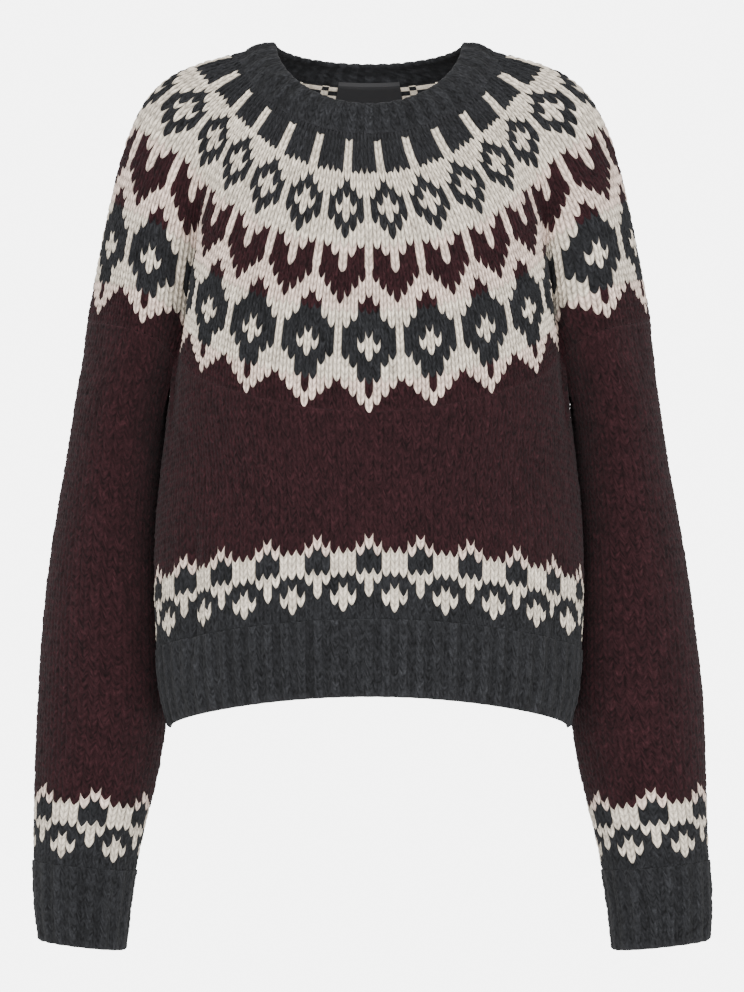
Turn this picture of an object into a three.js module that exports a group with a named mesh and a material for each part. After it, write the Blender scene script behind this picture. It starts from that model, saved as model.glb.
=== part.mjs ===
// Fair isle jumper with a round yoke, filled out as it is worn, with nobody in it.
// Millimetres, +Z up. The front faces -Y. The origin is the middle of the neck opening,
// a little below the highest points of the neck band, where the wearer's shoulders hold it.
import * as THREE from "three";

// Cloth
const WALL = 3; // knitted wall
const RIB_WALL = 3.2; // ribbed wall, in its furrows
const RIB_RISE = 1.5; // how far a rib stands above its furrow
const SEAM_GAP = 0.4; // space between two pieces along a seam
const FOLD_EASE = 2; // extra space where three pieces meet at the bottom of an armhole fold
const FOLD_EASE_REACH = 3; // in stitches to either side
const LABEL_THICKNESS = 1;

// Round yoke. A place is counted in pattern repeats from the centre front.
const HALF_ROUND = 13; // repeats from centre front to centre back
const SHOULDER_PLACE = 6.5;
const FRONT_FOLD = 4.25; // place of the armhole fold on the front
const BACK_FOLD = 8.75; // and on the back
const YOKE_STEPS_PER_REPEAT = 4;
const YOKE_ROWS = 10;
const MERIDIAN_SAMPLES = 24;

// Where the yoke starts, at the foot of the neck band
const YOKE_NECK = { halfWidth: 102, front: 71, back: 68, z: 6.5, frontDrop: 67.5, backDrop: 23.5 };
// Top edge of the neck band
const NECK_EDGE = { halfWidth: 76, front: 61, back: 57, z: 14, frontDrop: 53, backDrop: 13 };
const NECK_DIP_POWER = 1.12; // how the neckline dips between the shoulders and the middle
const NECK_ROLL = 3; // how far the middle of the band stands out between its edges

// Bottom edge of the yoke, and how the cloth leaves the neck and arrives there:
// slope is in degrees below level at the neck, leave and arrive are the lengths over which
// the cloth keeps its first and last direction, lean is its outward lean at the bottom edge.
const YOKE_STATIONS = [
  { place: 0, x: 0, y: -118, z: -291, slope: 60, leave: 85, arrive: 80, lean: 0 },
  { place: 1, x: 52, y: -116.5, z: -286, slope: 58, leave: 82, arrive: 80, lean: 0.02 },
  { place: 2, x: 99, y: -104.5, z: -276, slope: 54, leave: 78, arrive: 82, lean: 0.04 },
  { place: 3, x: 136, y: -76, z: -263, slope: 48, leave: 75, arrive: 86, lean: 0.06 },
  { place: 3.75, x: 152, y: -47, z: -252, slope: 43, leave: 76, arrive: 92, lean: 0.07 },
  { place: 4.25, x: 157.5, y: -18, z: -246, slope: 40, leave: 77, arrive: 97, lean: 0.08 },
  { place: 4.75, x: 174, y: -38, z: -230, slope: 37, leave: 79, arrive: 104, lean: 0.09 },
  { place: 5.25, x: 197, y: -40, z: -221, slope: 31, leave: 82, arrive: 124, lean: 0.12 },
  { place: 6, x: 223, y: -12, z: -216, slope: 17, leave: 89, arrive: 178, lean: 0.17 },
  { place: 6.5, x: 231.5, y: 16, z: -214, slope: 12.5, leave: 92, arrive: 192, lean: 0.185 },
  { place: 7, x: 226, y: 43, z: -215, slope: 16, leave: 90, arrive: 180, lean: 0.17 },
  { place: 7.75, x: 204, y: 72, z: -221, slope: 30, leave: 82, arrive: 122, lean: 0.12 },
  { place: 8.25, x: 178, y: 73, z: -229, slope: 36, leave: 78, arrive: 104, lean: 0.09 },
  { place: 8.75, x: 160, y: 48, z: -243, slope: 40, leave: 75, arrive: 97, lean: 0.08 },
  { place: 9.25, x: 151, y: 70, z: -247, slope: 43, leave: 73, arrive: 92, lean: 0.07 },
  { place: 10, x: 130, y: 95, z: -248, slope: 47, leave: 71, arrive: 86, lean: 0.06 },
  { place: 11, x: 91, y: 112, z: -248, slope: 50, leave: 70, arrive: 82, lean: 0.04 },
  { place: 12, x: 46, y: 118, z: -248, slope: 52, leave: 70, arrive: 80, lean: 0.02 },
  { place: 13, x: 0, y: 119, z: -248, slope: 52, leave: 70, arrive: 80, lean: 0 },
];

// Body, counted in stitches from centre front to the side
const QUARTER_STITCHES = 33;
const FOLD_STITCH = 29; // the armhole fold reaches the body here
const BODY_ROWS = 8;
const BODY_SETTLE = 90; // the body takes its own section within this length below the yoke
const BODY_SECTIONS = [
  { z: -215, halfWidth: 158, halfDepth: 118 },
  { z: -246, halfWidth: 160, halfDepth: 118 },
  { z: -295, halfWidth: 165.5, halfDepth: 117 },
  { z: -353, halfWidth: 172, halfDepth: 114.5 },
  { z: -389, halfWidth: 175, halfDepth: 113 },
  { z: -426, halfWidth: 175.5, halfDepth: 111.5 },
  { z: -467, halfWidth: 174.5, halfDepth: 110 },
  { z: -513, halfWidth: 171.5, halfDepth: 107 },
  { z: -550, halfWidth: 163.5, halfDepth: 103 },
];

// Hem
const HEM = { sideZ: -548, rise: 29, risePower: 1.04, ribHeight: 63 };
const HEM_RIBS = 66;
const RIB_STEPS = 3; // points across one rib: crest, crest, furrow
const RIB_ROWS = 2;

// Sleeves. lean moves the outer edge outwards on the left sleeve and inwards on the right.
const SLEEVE_STITCHES = 48;
const UNDERARM_STITCHES = 8;
const SLEEVE_ROWS = 11;
const SLEEVE_SETTLE = 75;
const SLEEVE_SECTIONS = [
  { z: -205, x: 196, y: 16, halfWidth: 35.5, halfDepth: 57, lean: 0.5 },
  { z: -246, x: 199, y: 20, halfWidth: 36.5, halfDepth: 59, lean: 1 },
  { z: -279, x: 203.6, y: 28, halfWidth: 36.8, halfDepth: 61, lean: 1.4 },
  { z: -328, x: 208.6, y: 37, halfWidth: 39.6, halfDepth: 61, lean: 1.6 },
  { z: -377, x: 214.2, y: 43, halfWidth: 43.1, halfDepth: 60, lean: 1.4 },
  { z: -426, x: 218.1, y: 48, halfWidth: 47.1, halfDepth: 59, lean: 0.8 },
  { z: -476, x: 219.8, y: 52, halfWidth: 51.3, halfDepth: 57, lean: 0 },
  { z: -525, x: 221.2, y: 54, halfWidth: 54.2, halfDepth: 54, lean: -1.2 },
  { z: -574, x: 224.9, y: 53, halfWidth: 52.5, halfDepth: 51, lean: -1 },
  { z: -648, x: 234.2, y: 47, halfWidth: 44.7, halfDepth: 45, lean: -1.5 },
  { z: -697, x: 238.4, y: 42, halfWidth: 40.7, halfDepth: 39, lean: -3.4 },
  { z: -735, x: 238.7, y: 40, halfWidth: 36.8, halfDepth: 35, lean: -4.5 },
];
const CUFF = { z: -728.5, tilt: 4, ribHeight: 66 };
const CUFF_RIBS = 18;

// Neck band and label
const NECK_RIBS = 44;
const NECK_ROWS = 2;
const LABEL = { halfPlaces: 0.94, top: 0.012, bottom: 0.17, across: 6, down: 3, offset: 0.9 };

const COLOUR = { burgundy: 0x3a2427, charcoal: 0x34363a, label: 0x1d1d1f };

// A smooth curve through one column of a table, by the distance along another column.
function column(table, along, name) {
  const at = table.map((row) => row[along]);
  const value = table.map((row) => row[name]);
  const last = table.length - 1;
  const slope = (i) => {
    const a = Math.max(i - 1, 0);
    const b = Math.min(i + 1, last);
    return (value[b] - value[a]) / (at[b] - at[a]);
  };
  const rising = at[last] > at[0];
  return (x) => {
    let i = 0;
    while (i < last - 1 && (rising ? x > at[i + 1] : x < at[i + 1])) i++;
    const span = at[i + 1] - at[i];
    const t = THREE.MathUtils.clamp((x - at[i]) / span, 0, 1);
    const t2 = t * t;
    const t3 = t2 * t;
    return (
      value[i] * (2 * t3 - 3 * t2 + 1) +
      slope(i) * span * (t3 - 2 * t2 + t) +
      value[i + 1] * (3 * t2 - 2 * t3) +
      slope(i + 1) * span * (t3 - t2)
    );
  };
}

// The named columns of a table, each as a smooth curve.
function columns(table, along, names) {
  const curves = names.map((name) => column(table, along, name));
  return (x) => Object.fromEntries(names.map((name, i) => [name, curves[i](x)]));
}

const station = columns(YOKE_STATIONS, "place", ["x", "y", "z", "slope", "leave", "arrive", "lean"]);
const bodySection = columns(BODY_SECTIONS, "z", ["halfWidth", "halfDepth"]);
const sleeveSection = columns(SLEEVE_SECTIONS, "z", ["x", "y", "halfWidth", "halfDepth", "lean"]);

// How much of a dip between shoulder and middle is reached at an angle from the front.
const dip = (cosine) => Math.max(cosine, 0) ** NECK_DIP_POWER;

// A neckline: an oval, lower in the middle of the front and back than on the shoulders.
function neckline(edge, place) {
  const angle = (Math.PI * place) / HALF_ROUND;
  const across = Math.sin(angle);
  const ahead = Math.cos(angle);
  return new THREE.Vector3(
    edge.halfWidth * across,
    ahead > 0 ? -edge.front * ahead : -edge.back * ahead,
    edge.z - edge.frontDrop * dip(ahead) - edge.backDrop * dip(-ahead),
  );
}

// Bottom edge of the yoke at a place on either side.
function yokeEdge(place) {
  const s = station(Math.abs(place));
  return new THREE.Vector3(Math.sign(place) * s.x, s.y, s.z);
}

// A meridian of the yoke: a cubic curve from the neckline to the bottom edge.
function meridian(place) {
  const s = station(Math.abs(place));
  const side = Math.sign(place) || 1;
  const heading = (Math.PI * Math.abs(place)) / HALF_ROUND;
  const slope = THREE.MathUtils.degToRad(s.slope);
  const start = neckline(YOKE_NECK, place);
  const end = new THREE.Vector3(side * s.x, s.y, s.z);
  const out = new THREE.Vector3(side * Math.sin(heading), -Math.cos(heading), 0);
  const leaving = out.clone().multiplyScalar(Math.cos(slope)).setZ(-Math.sin(slope));
  const arriving = out.clone().multiplyScalar(-s.lean).setZ(1);
  const curve = new THREE.CubicBezierCurve3(
    start,
    start.clone().addScaledVector(leaving, s.leave),
    end.clone().addScaledVector(arriving, s.arrive),
    end,
  );
  curve.arcLengthDivisions = MERIDIAN_SAMPLES;
  return curve;
}

const meridians = new Map();
function yokePoint(place, down) {
  const key = place.toFixed(5);
  if (!meridians.has(key)) meridians.set(key, meridian(place));
  return meridians.get(key).getPointAt(THREE.MathUtils.clamp(down, 0, 1));
}

// The angle at which a quarter of an ellipse has run a share of its length.
function quarterAngle(along, across, share) {
  const steps = 40;
  const lengths = [0];
  const speed = (angle) => Math.hypot(along * Math.cos(angle), across * Math.sin(angle));
  for (let i = 0; i < steps; i++) {
    const middle = ((i + 0.5) * Math.PI) / 2 / steps;
    lengths.push(lengths[i] + speed(middle));
  }
  const wanted = share * lengths[steps];
  let i = 0;
  while (i < steps - 1 && lengths[i + 1] < wanted) i++;
  return (((wanted - lengths[i]) / (lengths[i + 1] - lengths[i]) + i) * Math.PI) / 2 / steps;
}

// The fold under the arm, from the front fold (0) to the back fold (1).
function underarm(share) {
  const front = yokeEdge(FRONT_FOLD);
  const back = yokeEdge(BACK_FOLD);
  const bow = 4 * share * (1 - share);
  return front.lerp(back, share).add(new THREE.Vector3(1.5 * bow, 0, 0));
}

// Top edge of the body at a stitch counted from the centre front, 0 to twice a quarter.
function bodyTop(stitch) {
  const fold = FOLD_STITCH;
  const whole = 2 * QUARTER_STITCHES;
  if (stitch <= fold) return yokeEdge((FRONT_FOLD * stitch) / fold);
  if (stitch >= whole - fold) return yokeEdge(HALF_ROUND - (FRONT_FOLD * (whole - stitch)) / fold);
  return underarm((stitch - fold) / (whole - 2 * fold)).setX(underarm(0.5).x - SEAM_GAP);
}

// The body's own section at a height, at a stitch from the centre front.
function bodyOval(z, stitch) {
  const s = bodySection(z);
  const behind = stitch > QUARTER_STITCHES;
  const share = (behind ? 2 * QUARTER_STITCHES - stitch : stitch) / QUARTER_STITCHES;
  const angle = quarterAngle(s.halfWidth, s.halfDepth, share);
  const y = s.halfDepth * Math.cos(angle);
  return new THREE.Vector3(s.halfWidth * Math.sin(angle), behind ? y : -y, z);
}

// Extra room below the yoke's edge near a fold, by the distance from it in stitches.
const foldEase = (away) => FOLD_EASE * Math.max(0, 1 - Math.abs(away) / FOLD_EASE_REACH);

// Height of the hem edge at a stitch.
function hemZ(stitch) {
  const ahead = Math.abs(Math.cos((Math.PI * stitch) / 2 / QUARTER_STITCHES));
  return HEM.sideZ + HEM.rise * ahead ** HEM.risePower;
}

// The body: it leaves the yoke's edge and takes its own section within BODY_SETTLE.
function bodyPoint(signedStitch, z) {
  const stitch = Math.abs(signedStitch);
  const top = bodyTop(stitch);
  const settle = Math.min(1, Math.max(0, top.z - z) / BODY_SETTLE);
  const weight = (1 - settle) ** 2 * (1 + 2 * settle);
  const point = bodyOval(z, stitch).addScaledVector(top.clone().sub(bodyOval(top.z, stitch)), weight);
  point.z = z;
  if (signedStitch < 0) point.x = -point.x;
  return point;
}

function bodyWall(signedStitch, down) {
  const stitch = Math.abs(signedStitch);
  const away = Math.min(Math.abs(stitch - FOLD_STITCH), Math.abs(2 * QUARTER_STITCHES - FOLD_STITCH - stitch));
  const start = bodyTop(stitch).z - SEAM_GAP - foldEase(away);
  const end = hemZ(stitch) + HEM.ribHeight + SEAM_GAP;
  return bodyPoint(signedStitch, start + (end - start) * down);
}

function hemWall(signedStitch, down) {
  const end = hemZ(Math.abs(signedStitch));
  return bodyPoint(signedStitch, end + HEM.ribHeight * (1 - down));
}

// Top edge of a sleeve on the +X side at a stitch counted from the underarm, by the front.
function sleeveTop(stitch) {
  const half = UNDERARM_STITCHES / 2;
  const onYoke = SLEEVE_STITCHES - UNDERARM_STITCHES;
  if (stitch < half || stitch > SLEEVE_STITCHES - half) {
    const share = stitch < half ? 0.5 - stitch / half / 2 : 0.5 + (SLEEVE_STITCHES - stitch) / half / 2;
    return underarm(share).setX(underarm(0.5).x + SEAM_GAP);
  }
  return yokeEdge(FRONT_FOLD + ((BACK_FOLD - FRONT_FOLD) * (stitch - half)) / onYoke);
}

// The sleeve's own oval at a height. side is 1 for the +X sleeve and -1 for the other.
function sleeveOval(z, stitch, side) {
  const s = sleeveSection(z);
  const quarter = SLEEVE_STITCHES / 4;
  const outward = -side * s.lean * 0.5;
  const turn = stitch / quarter;
  const whole = Math.min(3, Math.floor(turn));
  const odd = whole % 2 === 1;
  const width = s.halfWidth + outward;
  const share = odd ? 1 - (turn - whole) : turn - whole;
  const angle = quarterAngle(s.halfDepth, width, share);
  const x = width * Math.cos(angle) * (whole === 0 || whole === 3 ? -1 : 1);
  const y = s.halfDepth * Math.sin(angle) * (whole < 2 ? -1 : 1);
  return new THREE.Vector3(s.x + outward + x, s.y + y, z);
}

function sleevePoint(stitch, z, side) {
  const top = sleeveTop(stitch);
  const settle = Math.min(1, Math.max(0, top.z - z) / SLEEVE_SETTLE);
  const weight = (1 - settle) ** 2 * (1 + 2 * settle);
  const own = sleeveOval(z, stitch, side);
  const point = own.addScaledVector(top.clone().sub(sleeveOval(top.z, stitch, side)), weight);
  return new THREE.Vector3(side * point.x, point.y, z);
}

// Height of the cuff's edge: it tilts down towards the body.
const cuffZ = (stitch) => CUFF.z - CUFF.tilt * Math.cos((2 * Math.PI * stitch) / SLEEVE_STITCHES);

function sleeveWall(stitch, down, side) {
  const half = UNDERARM_STITCHES / 2;
  const away = Math.min(Math.abs(stitch - half), Math.abs(SLEEVE_STITCHES - half - stitch));
  const start = sleeveTop(stitch).z - SEAM_GAP - foldEase(away);
  const end = cuffZ(stitch) + CUFF.ribHeight + SEAM_GAP;
  return sleevePoint(stitch, start + (end - start) * down, side);
}

function cuffWall(stitch, down, side) {
  return sleevePoint(stitch, cuffZ(stitch) + CUFF.ribHeight * (1 - down), side);
}

// The neck band between its two edges, bowed a little outwards.
function neckWall(place, down) {
  const edge = neckline(NECK_EDGE, place);
  const point = edge.clone().lerp(neckline(YOKE_NECK, place), down);
  const angle = (Math.PI * place) / HALF_ROUND;
  const bow = 4 * down * (1 - down) * NECK_ROLL;
  const out = new THREE.Vector3(Math.sin(angle), -Math.cos(angle), 1).normalize();
  return point.addScaledVector(out, bow);
}

// Outward direction of a surface at one of its points.
function normalAt(surface, u, v, stepU) {
  const stepV = 0.004;
  const v0 = Math.max(0, v - stepV);
  const v1 = Math.min(1, v + stepV);
  const across = surface(u + stepU, v).sub(surface(u - stepU, v));
  const downwards = surface(u, v1).sub(surface(u, v0));
  return downwards.cross(across).normalize();
}

// A cloth wall over a grid: the surface is its outside, and the inside lies a wall behind it.
// us are the places along it, rows the steps down it; rise(i, v) raises the outside alone.
function clothWall({ surface, us, rows, wall, closed, stepU, flip = 1, rise = () => 0 }) {
  const positions = [];
  const across = us.length;
  const down = rows + 1;
  for (const inside of [false, true]) {
    for (let j = 0; j < down; j++) {
      for (let i = 0; i < across; i++) {
        const v = j / rows;
        const normal = normalAt(surface, us[i], v, stepU).multiplyScalar(flip);
        const offset = inside ? -wall : rise(i, v);
        const point = surface(us[i], v).addScaledVector(normal, offset);
        positions.push(point.x, point.y, point.z);
      }
    }
  }
  const index = [];
  const at = (inside, j, i) => inside * across * down + j * across + (i % across);
  const quad = (a, b, c, d) => {
    if (flip > 0) index.push(a, b, c, a, c, d);
    else index.push(a, c, b, a, d, c);
  };
  const spans = closed ? across : across - 1;
  for (let i = 0; i < spans; i++) {
    for (let j = 0; j < rows; j++) {
      quad(at(0, j, i), at(0, j + 1, i), at(0, j + 1, i + 1), at(0, j, i + 1));
      quad(at(1, j, i), at(1, j, i + 1), at(1, j + 1, i + 1), at(1, j + 1, i));
    }
    quad(at(0, 0, i), at(0, 0, i + 1), at(1, 0, i + 1), at(1, 0, i));
    quad(at(0, rows, i), at(1, rows, i), at(1, rows, i + 1), at(0, rows, i + 1));
  }
  if (!closed) {
    const last = across - 1;
    for (let j = 0; j < rows; j++) {
      quad(at(0, j, 0), at(1, j, 0), at(1, j + 1, 0), at(0, j + 1, 0));
      quad(at(0, j, last), at(0, j + 1, last), at(1, j + 1, last), at(1, j, last));
    }
  }
  const geometry = new THREE.BufferGeometry();
  geometry.setAttribute("position", new THREE.Float32BufferAttribute(positions, 3));
  geometry.setIndex(index);
  geometry.computeVertexNormals();
  return geometry;
}

// Even steps from one value to another; a closed round leaves out its last, repeated step.
function steps(from, to, count, closed = false) {
  return Array.from({ length: closed ? count : count + 1 }, (_, i) => from + ((to - from) * i) / count);
}

// The outside of a ribbed wall: two points on each crest and one in each furrow.
const ribRise = (i) => (i % RIB_STEPS === RIB_STEPS - 1 ? 0 : RIB_RISE);

function knitted(name, colour, geometry) {
  const material = new THREE.MeshStandardMaterial({ color: colour, roughness: 0.95, metalness: 0 });
  const mesh = new THREE.Mesh(geometry, material);
  mesh.name = name;
  return mesh;
}

function yoke() {
  const count = 2 * HALF_ROUND * YOKE_STEPS_PER_REPEAT;
  const us = steps(-HALF_ROUND, HALF_ROUND, count, true);
  const round = (place) => (place > HALF_ROUND ? place - 2 * HALF_ROUND : place < -HALF_ROUND ? place + 2 * HALF_ROUND : place);
  const surface = (place, down) => yokePoint(round(place), down);
  return knitted("yoke", COLOUR.burgundy, clothWall({ surface, us, rows: YOKE_ROWS, wall: WALL, closed: true, stepU: 0.02 }));
}

function neckRib() {
  const us = steps(-HALF_ROUND, HALF_ROUND, NECK_RIBS * RIB_STEPS, true);
  const surface = (place, down) => neckWall(place, down * (1 - SEAM_GAP / 24));
  return knitted(
    "neck_rib",
    COLOUR.charcoal,
    clothWall({ surface, us, rows: NECK_ROWS, wall: RIB_WALL, closed: true, stepU: 0.02, rise: ribRise }),
  );
}

// Stitch places of a body panel from side to side, on the yoke's own steps above the folds.
function panelStitches() {
  const onYoke = Math.round(FRONT_FOLD * YOKE_STEPS_PER_REPEAT);
  const half = steps(0, FOLD_STITCH, onYoke).concat([31, QUARTER_STITCHES - 0.03]);
  return half.slice(1).reverse().map((stitch) => -stitch).concat(half);
}

function bodyFront() {
  const surface = (stitch, down) => bodyWall(stitch, down);
  const panel = { surface, us: panelStitches(), rows: BODY_ROWS, wall: WALL, closed: false, stepU: 0.02 };
  return knitted("body_front", COLOUR.burgundy, clothWall(panel));
}

function bodyBack() {
  const whole = 2 * QUARTER_STITCHES;
  const surface = (stitch, down) => bodyWall(stitch < 0 ? -(whole + stitch) : whole - stitch, down);
  const panel = { surface, us: panelStitches(), rows: BODY_ROWS, wall: WALL, closed: false, stepU: 0.02, flip: -1 };
  return knitted("body_back", COLOUR.burgundy, clothWall(panel));
}

function hemRib() {
  const whole = 2 * QUARTER_STITCHES;
  const us = steps(-whole, whole, HEM_RIBS * RIB_STEPS, true);
  const round = (stitch) => (stitch > whole ? stitch - 2 * whole : stitch < -whole ? stitch + 2 * whole : stitch);
  const surface = (stitch, down) => hemWall(round(stitch), down);
  return knitted(
    "hem_rib",
    COLOUR.charcoal,
    clothWall({ surface, us, rows: RIB_ROWS, wall: RIB_WALL, closed: true, stepU: 0.02, rise: ribRise }),
  );
}

// Stitch places round a sleeve, on the yoke's own steps between the folds.
function sleeveStitches() {
  const half = UNDERARM_STITCHES / 2;
  const onYoke = Math.round((BACK_FOLD - FRONT_FOLD) * YOKE_STEPS_PER_REPEAT);
  return [0, half / 2].concat(steps(half, SLEEVE_STITCHES - half, onYoke), [SLEEVE_STITCHES - half / 2]);
}

const roundSleeve = (stitch) => (stitch + SLEEVE_STITCHES) % SLEEVE_STITCHES;

function sleeve(name, side) {
  const surface = (stitch, down) => sleeveWall(roundSleeve(stitch), down, side);
  const tube = { surface, us: sleeveStitches(), rows: SLEEVE_ROWS, wall: WALL, closed: true, stepU: 0.02, flip: side };
  return knitted(name, COLOUR.burgundy, clothWall(tube));
}

function cuff(name, side) {
  const us = steps(0, SLEEVE_STITCHES, CUFF_RIBS * RIB_STEPS, true);
  const surface = (stitch, down) => cuffWall(roundSleeve(stitch), down, side);
  return knitted(
    name,
    COLOUR.charcoal,
    clothWall({ surface, us, rows: RIB_ROWS, wall: RIB_WALL, closed: true, stepU: 0.02, flip: side, rise: ribRise }),
  );
}

// The label lies on the yoke's inside at the back neck, made from its points, moved in.
function neckLabel() {
  const us = steps(HALF_ROUND - LABEL.halfPlaces, HALF_ROUND + LABEL.halfPlaces, LABEL.across);
  const round = (place) => (place > HALF_ROUND ? place - 2 * HALF_ROUND : place);
  const cloth = (place, down) => yokePoint(round(place), LABEL.top + (LABEL.bottom - LABEL.top) * down);
  const inside = (place, down) =>
    cloth(place, down).addScaledVector(normalAt(cloth, place, down, 0.02), -(WALL + LABEL.offset));
  return knitted(
    "neck_label",
    COLOUR.label,
    clothWall({ surface: inside, us, rows: LABEL.down, wall: LABEL_THICKNESS, closed: false, stepU: 0.02 }),
  );
}

const jumper = new THREE.Group();
jumper.name = "fair_isle_jumper";
jumper.add(
  neckRib(),
  yoke(),
  bodyFront(),
  bodyBack(),
  hemRib(),
  sleeve("sleeve_left", -1),
  sleeve("sleeve_right", 1),
  cuff("cuff_left", -1),
  cuff("cuff_right", 1),
  neckLabel(),
);

export default jumper;
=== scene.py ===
import logging
import math
from collections.abc import Callable
from dataclasses import dataclass
from enum import Enum

import bpy
import numpy as np
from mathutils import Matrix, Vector


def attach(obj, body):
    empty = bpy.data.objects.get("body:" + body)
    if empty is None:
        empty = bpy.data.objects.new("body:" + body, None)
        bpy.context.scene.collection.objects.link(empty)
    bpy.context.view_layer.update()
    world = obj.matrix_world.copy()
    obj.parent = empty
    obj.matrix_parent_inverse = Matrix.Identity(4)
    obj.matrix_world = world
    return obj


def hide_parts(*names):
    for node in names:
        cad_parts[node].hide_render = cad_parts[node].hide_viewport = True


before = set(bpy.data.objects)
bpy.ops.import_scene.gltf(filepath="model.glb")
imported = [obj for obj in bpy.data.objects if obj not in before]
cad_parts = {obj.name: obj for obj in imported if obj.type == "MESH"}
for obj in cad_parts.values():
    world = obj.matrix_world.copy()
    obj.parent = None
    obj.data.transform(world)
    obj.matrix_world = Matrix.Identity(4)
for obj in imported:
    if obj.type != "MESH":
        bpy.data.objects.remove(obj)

Array = np.ndarray
Surface = Callable[[Array, Array], Array]
Triple = tuple[float, float, float]
Rgba = tuple[float, float, float, float]

LOG = logging.getLogger("jumper")
MM = 0.001
TINY = 1e-9
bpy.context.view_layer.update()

# The cloth: its walls, how far the ribs stand out, the gap on either side of the line
# where sleeve and body meet under the arm, and how far edges lap over their neighbours
WALL = 3.0
RIB_WALL = 3.2
RIB_RISE = 1.5
EDGE_GAP = 0.15
EDGE_LAP = 0.3

# The round yoke. A place is counted in pattern repeats from the centre front.
HALF_ROUND = 13
FRONT_FOLD = 4.25
BACK_FOLD = 8.75
MERIDIAN_SAMPLES = 24


@dataclass(frozen=True)
class Table:
    """A short table with named columns, read as smooth curves along its first column."""

    columns: tuple[str, ...]
    rows: tuple[tuple[float, ...], ...]

    def at(self, along: Array) -> dict[str, Array]:
        """Every column at the given places.

        Each span is a cubic between two rows, with the slope at a row taken from the rows
        on either side of it.

        Args:
            along: places along the first column, of any shape.

        Returns:
            The columns by name, each of the same shape as along.
        """
        data = np.array(self.rows, dtype=float)
        if data[0, 0] > data[-1, 0]:
            data = data[::-1]
        keys = data[:, 0]
        last = len(keys) - 1
        order = np.arange(last + 1)
        before = np.maximum(order - 1, 0)
        after = np.minimum(order + 1, last)
        slope = (data[after] - data[before]) / (keys[after] - keys[before])[:, None]
        i = np.clip(np.searchsorted(keys, along, side="right") - 1, 0, last - 1)
        span = (keys[i + 1] - keys[i])[..., None]
        t = np.clip((np.asarray(along)[..., None] - keys[i][..., None]) / span, 0, 1)
        value = (
            data[i] * (2 * t**3 - 3 * t**2 + 1)
            + slope[i] * span * (t**3 - 2 * t**2 + t)
            + data[i + 1] * (3 * t**2 - 2 * t**3)
            + slope[i + 1] * span * (t**3 - t**2)
        )
        return {name: value[..., k] for k, name in enumerate(self.columns)}


def points(x: Array, y: Array, z: Array) -> Array:
    """Three coordinates of any matching shapes as points."""
    return np.stack(np.broadcast_arrays(x, y, z), axis=-1)


def wrapped(place: Array, whole: float) -> Array:
    """Places on a closed round, counted from its start by up to half of it either way."""
    return (place + whole / 2) % whole - whole / 2


def handed(place: Array) -> Array:
    """-1 to the left of the centre front and 1 to the right."""
    return np.where(place < 0, -1.0, 1.0)


def heading(place: Array) -> Array:
    """Level unit vectors from the middle of the neck towards places round the yoke."""
    angle = np.pi * place / HALF_ROUND
    return points(np.sin(angle), -np.cos(angle), 0)


def eased(value: Array, start: float, end: float) -> Array:
    """0 before start, 1 after end, and a smooth step between them."""
    t = np.clip((value - start) / (end - start), 0, 1)
    return t * t * (3 - 2 * t)


@dataclass(frozen=True)
class Crease:
    """A crease: a groove that runs along a surface and fades at its ends.

    centre and width are counted across the groove and start to end along it. It is at its
    deepest between rise and fall.
    """

    centre: float
    width: float
    start: float
    rise: float
    fall: float
    end: float
    depth: float

    def at(self, across: Array, along: Array) -> Array:
        """How far in the cloth lies: a bell across, eased in and out along.

        Args:
            across: places across the groove.
            along: places along it.

        Returns:
            Depths.
        """
        bell = np.exp(-(((across - self.centre) / self.width) ** 2))
        run = eased(along, self.start, self.rise) * (1 - eased(along, self.fall, self.end))
        return self.depth * bell * run


@dataclass(frozen=True)
class NeckEdge:
    """An oval neckline, lower in the middle of the front and back than on the shoulders."""

    half_width: float
    front: float
    back: float
    z: float
    front_drop: float
    back_drop: float
    dip_power: float = 1.12

    def at(self, place: Array) -> Array:
        """Points of the neckline: an oval that drops by a power of how far ahead it lies.

        Args:
            place: places round the yoke.

        Returns:
            Points, with one more axis than place.
        """
        angle = np.pi * place / HALF_ROUND
        ahead = np.cos(angle)
        reach = np.where(ahead > 0, self.front, self.back)
        drop = np.where(ahead > 0, self.front_drop, self.back_drop)
        dip = np.abs(ahead) ** self.dip_power
        return points(self.half_width * np.sin(angle), -reach * ahead, self.z - drop * dip)


YOKE_NECK = NeckEdge(half_width=102, front=71, back=68, z=6.5, front_drop=67.5, back_drop=23.5)
NECK_EDGE = NeckEdge(half_width=76, front=61, back=57, z=14, front_drop=53, back_drop=13)

# The neck band bows out by its roll. It runs on past its foot, to NECK_REACH of its
# height, and lies on the yoke there: a whole height is NECK_LAP_SHARE of a meridian.
NECK_ROLL = 3.0
NECK_REACH = 1.15
NECK_LAP_SHARE = 0.125
NECK_RIBS = 44
NECK_HEIGHT = 34.0
NECK_RISE = 0.7

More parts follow.
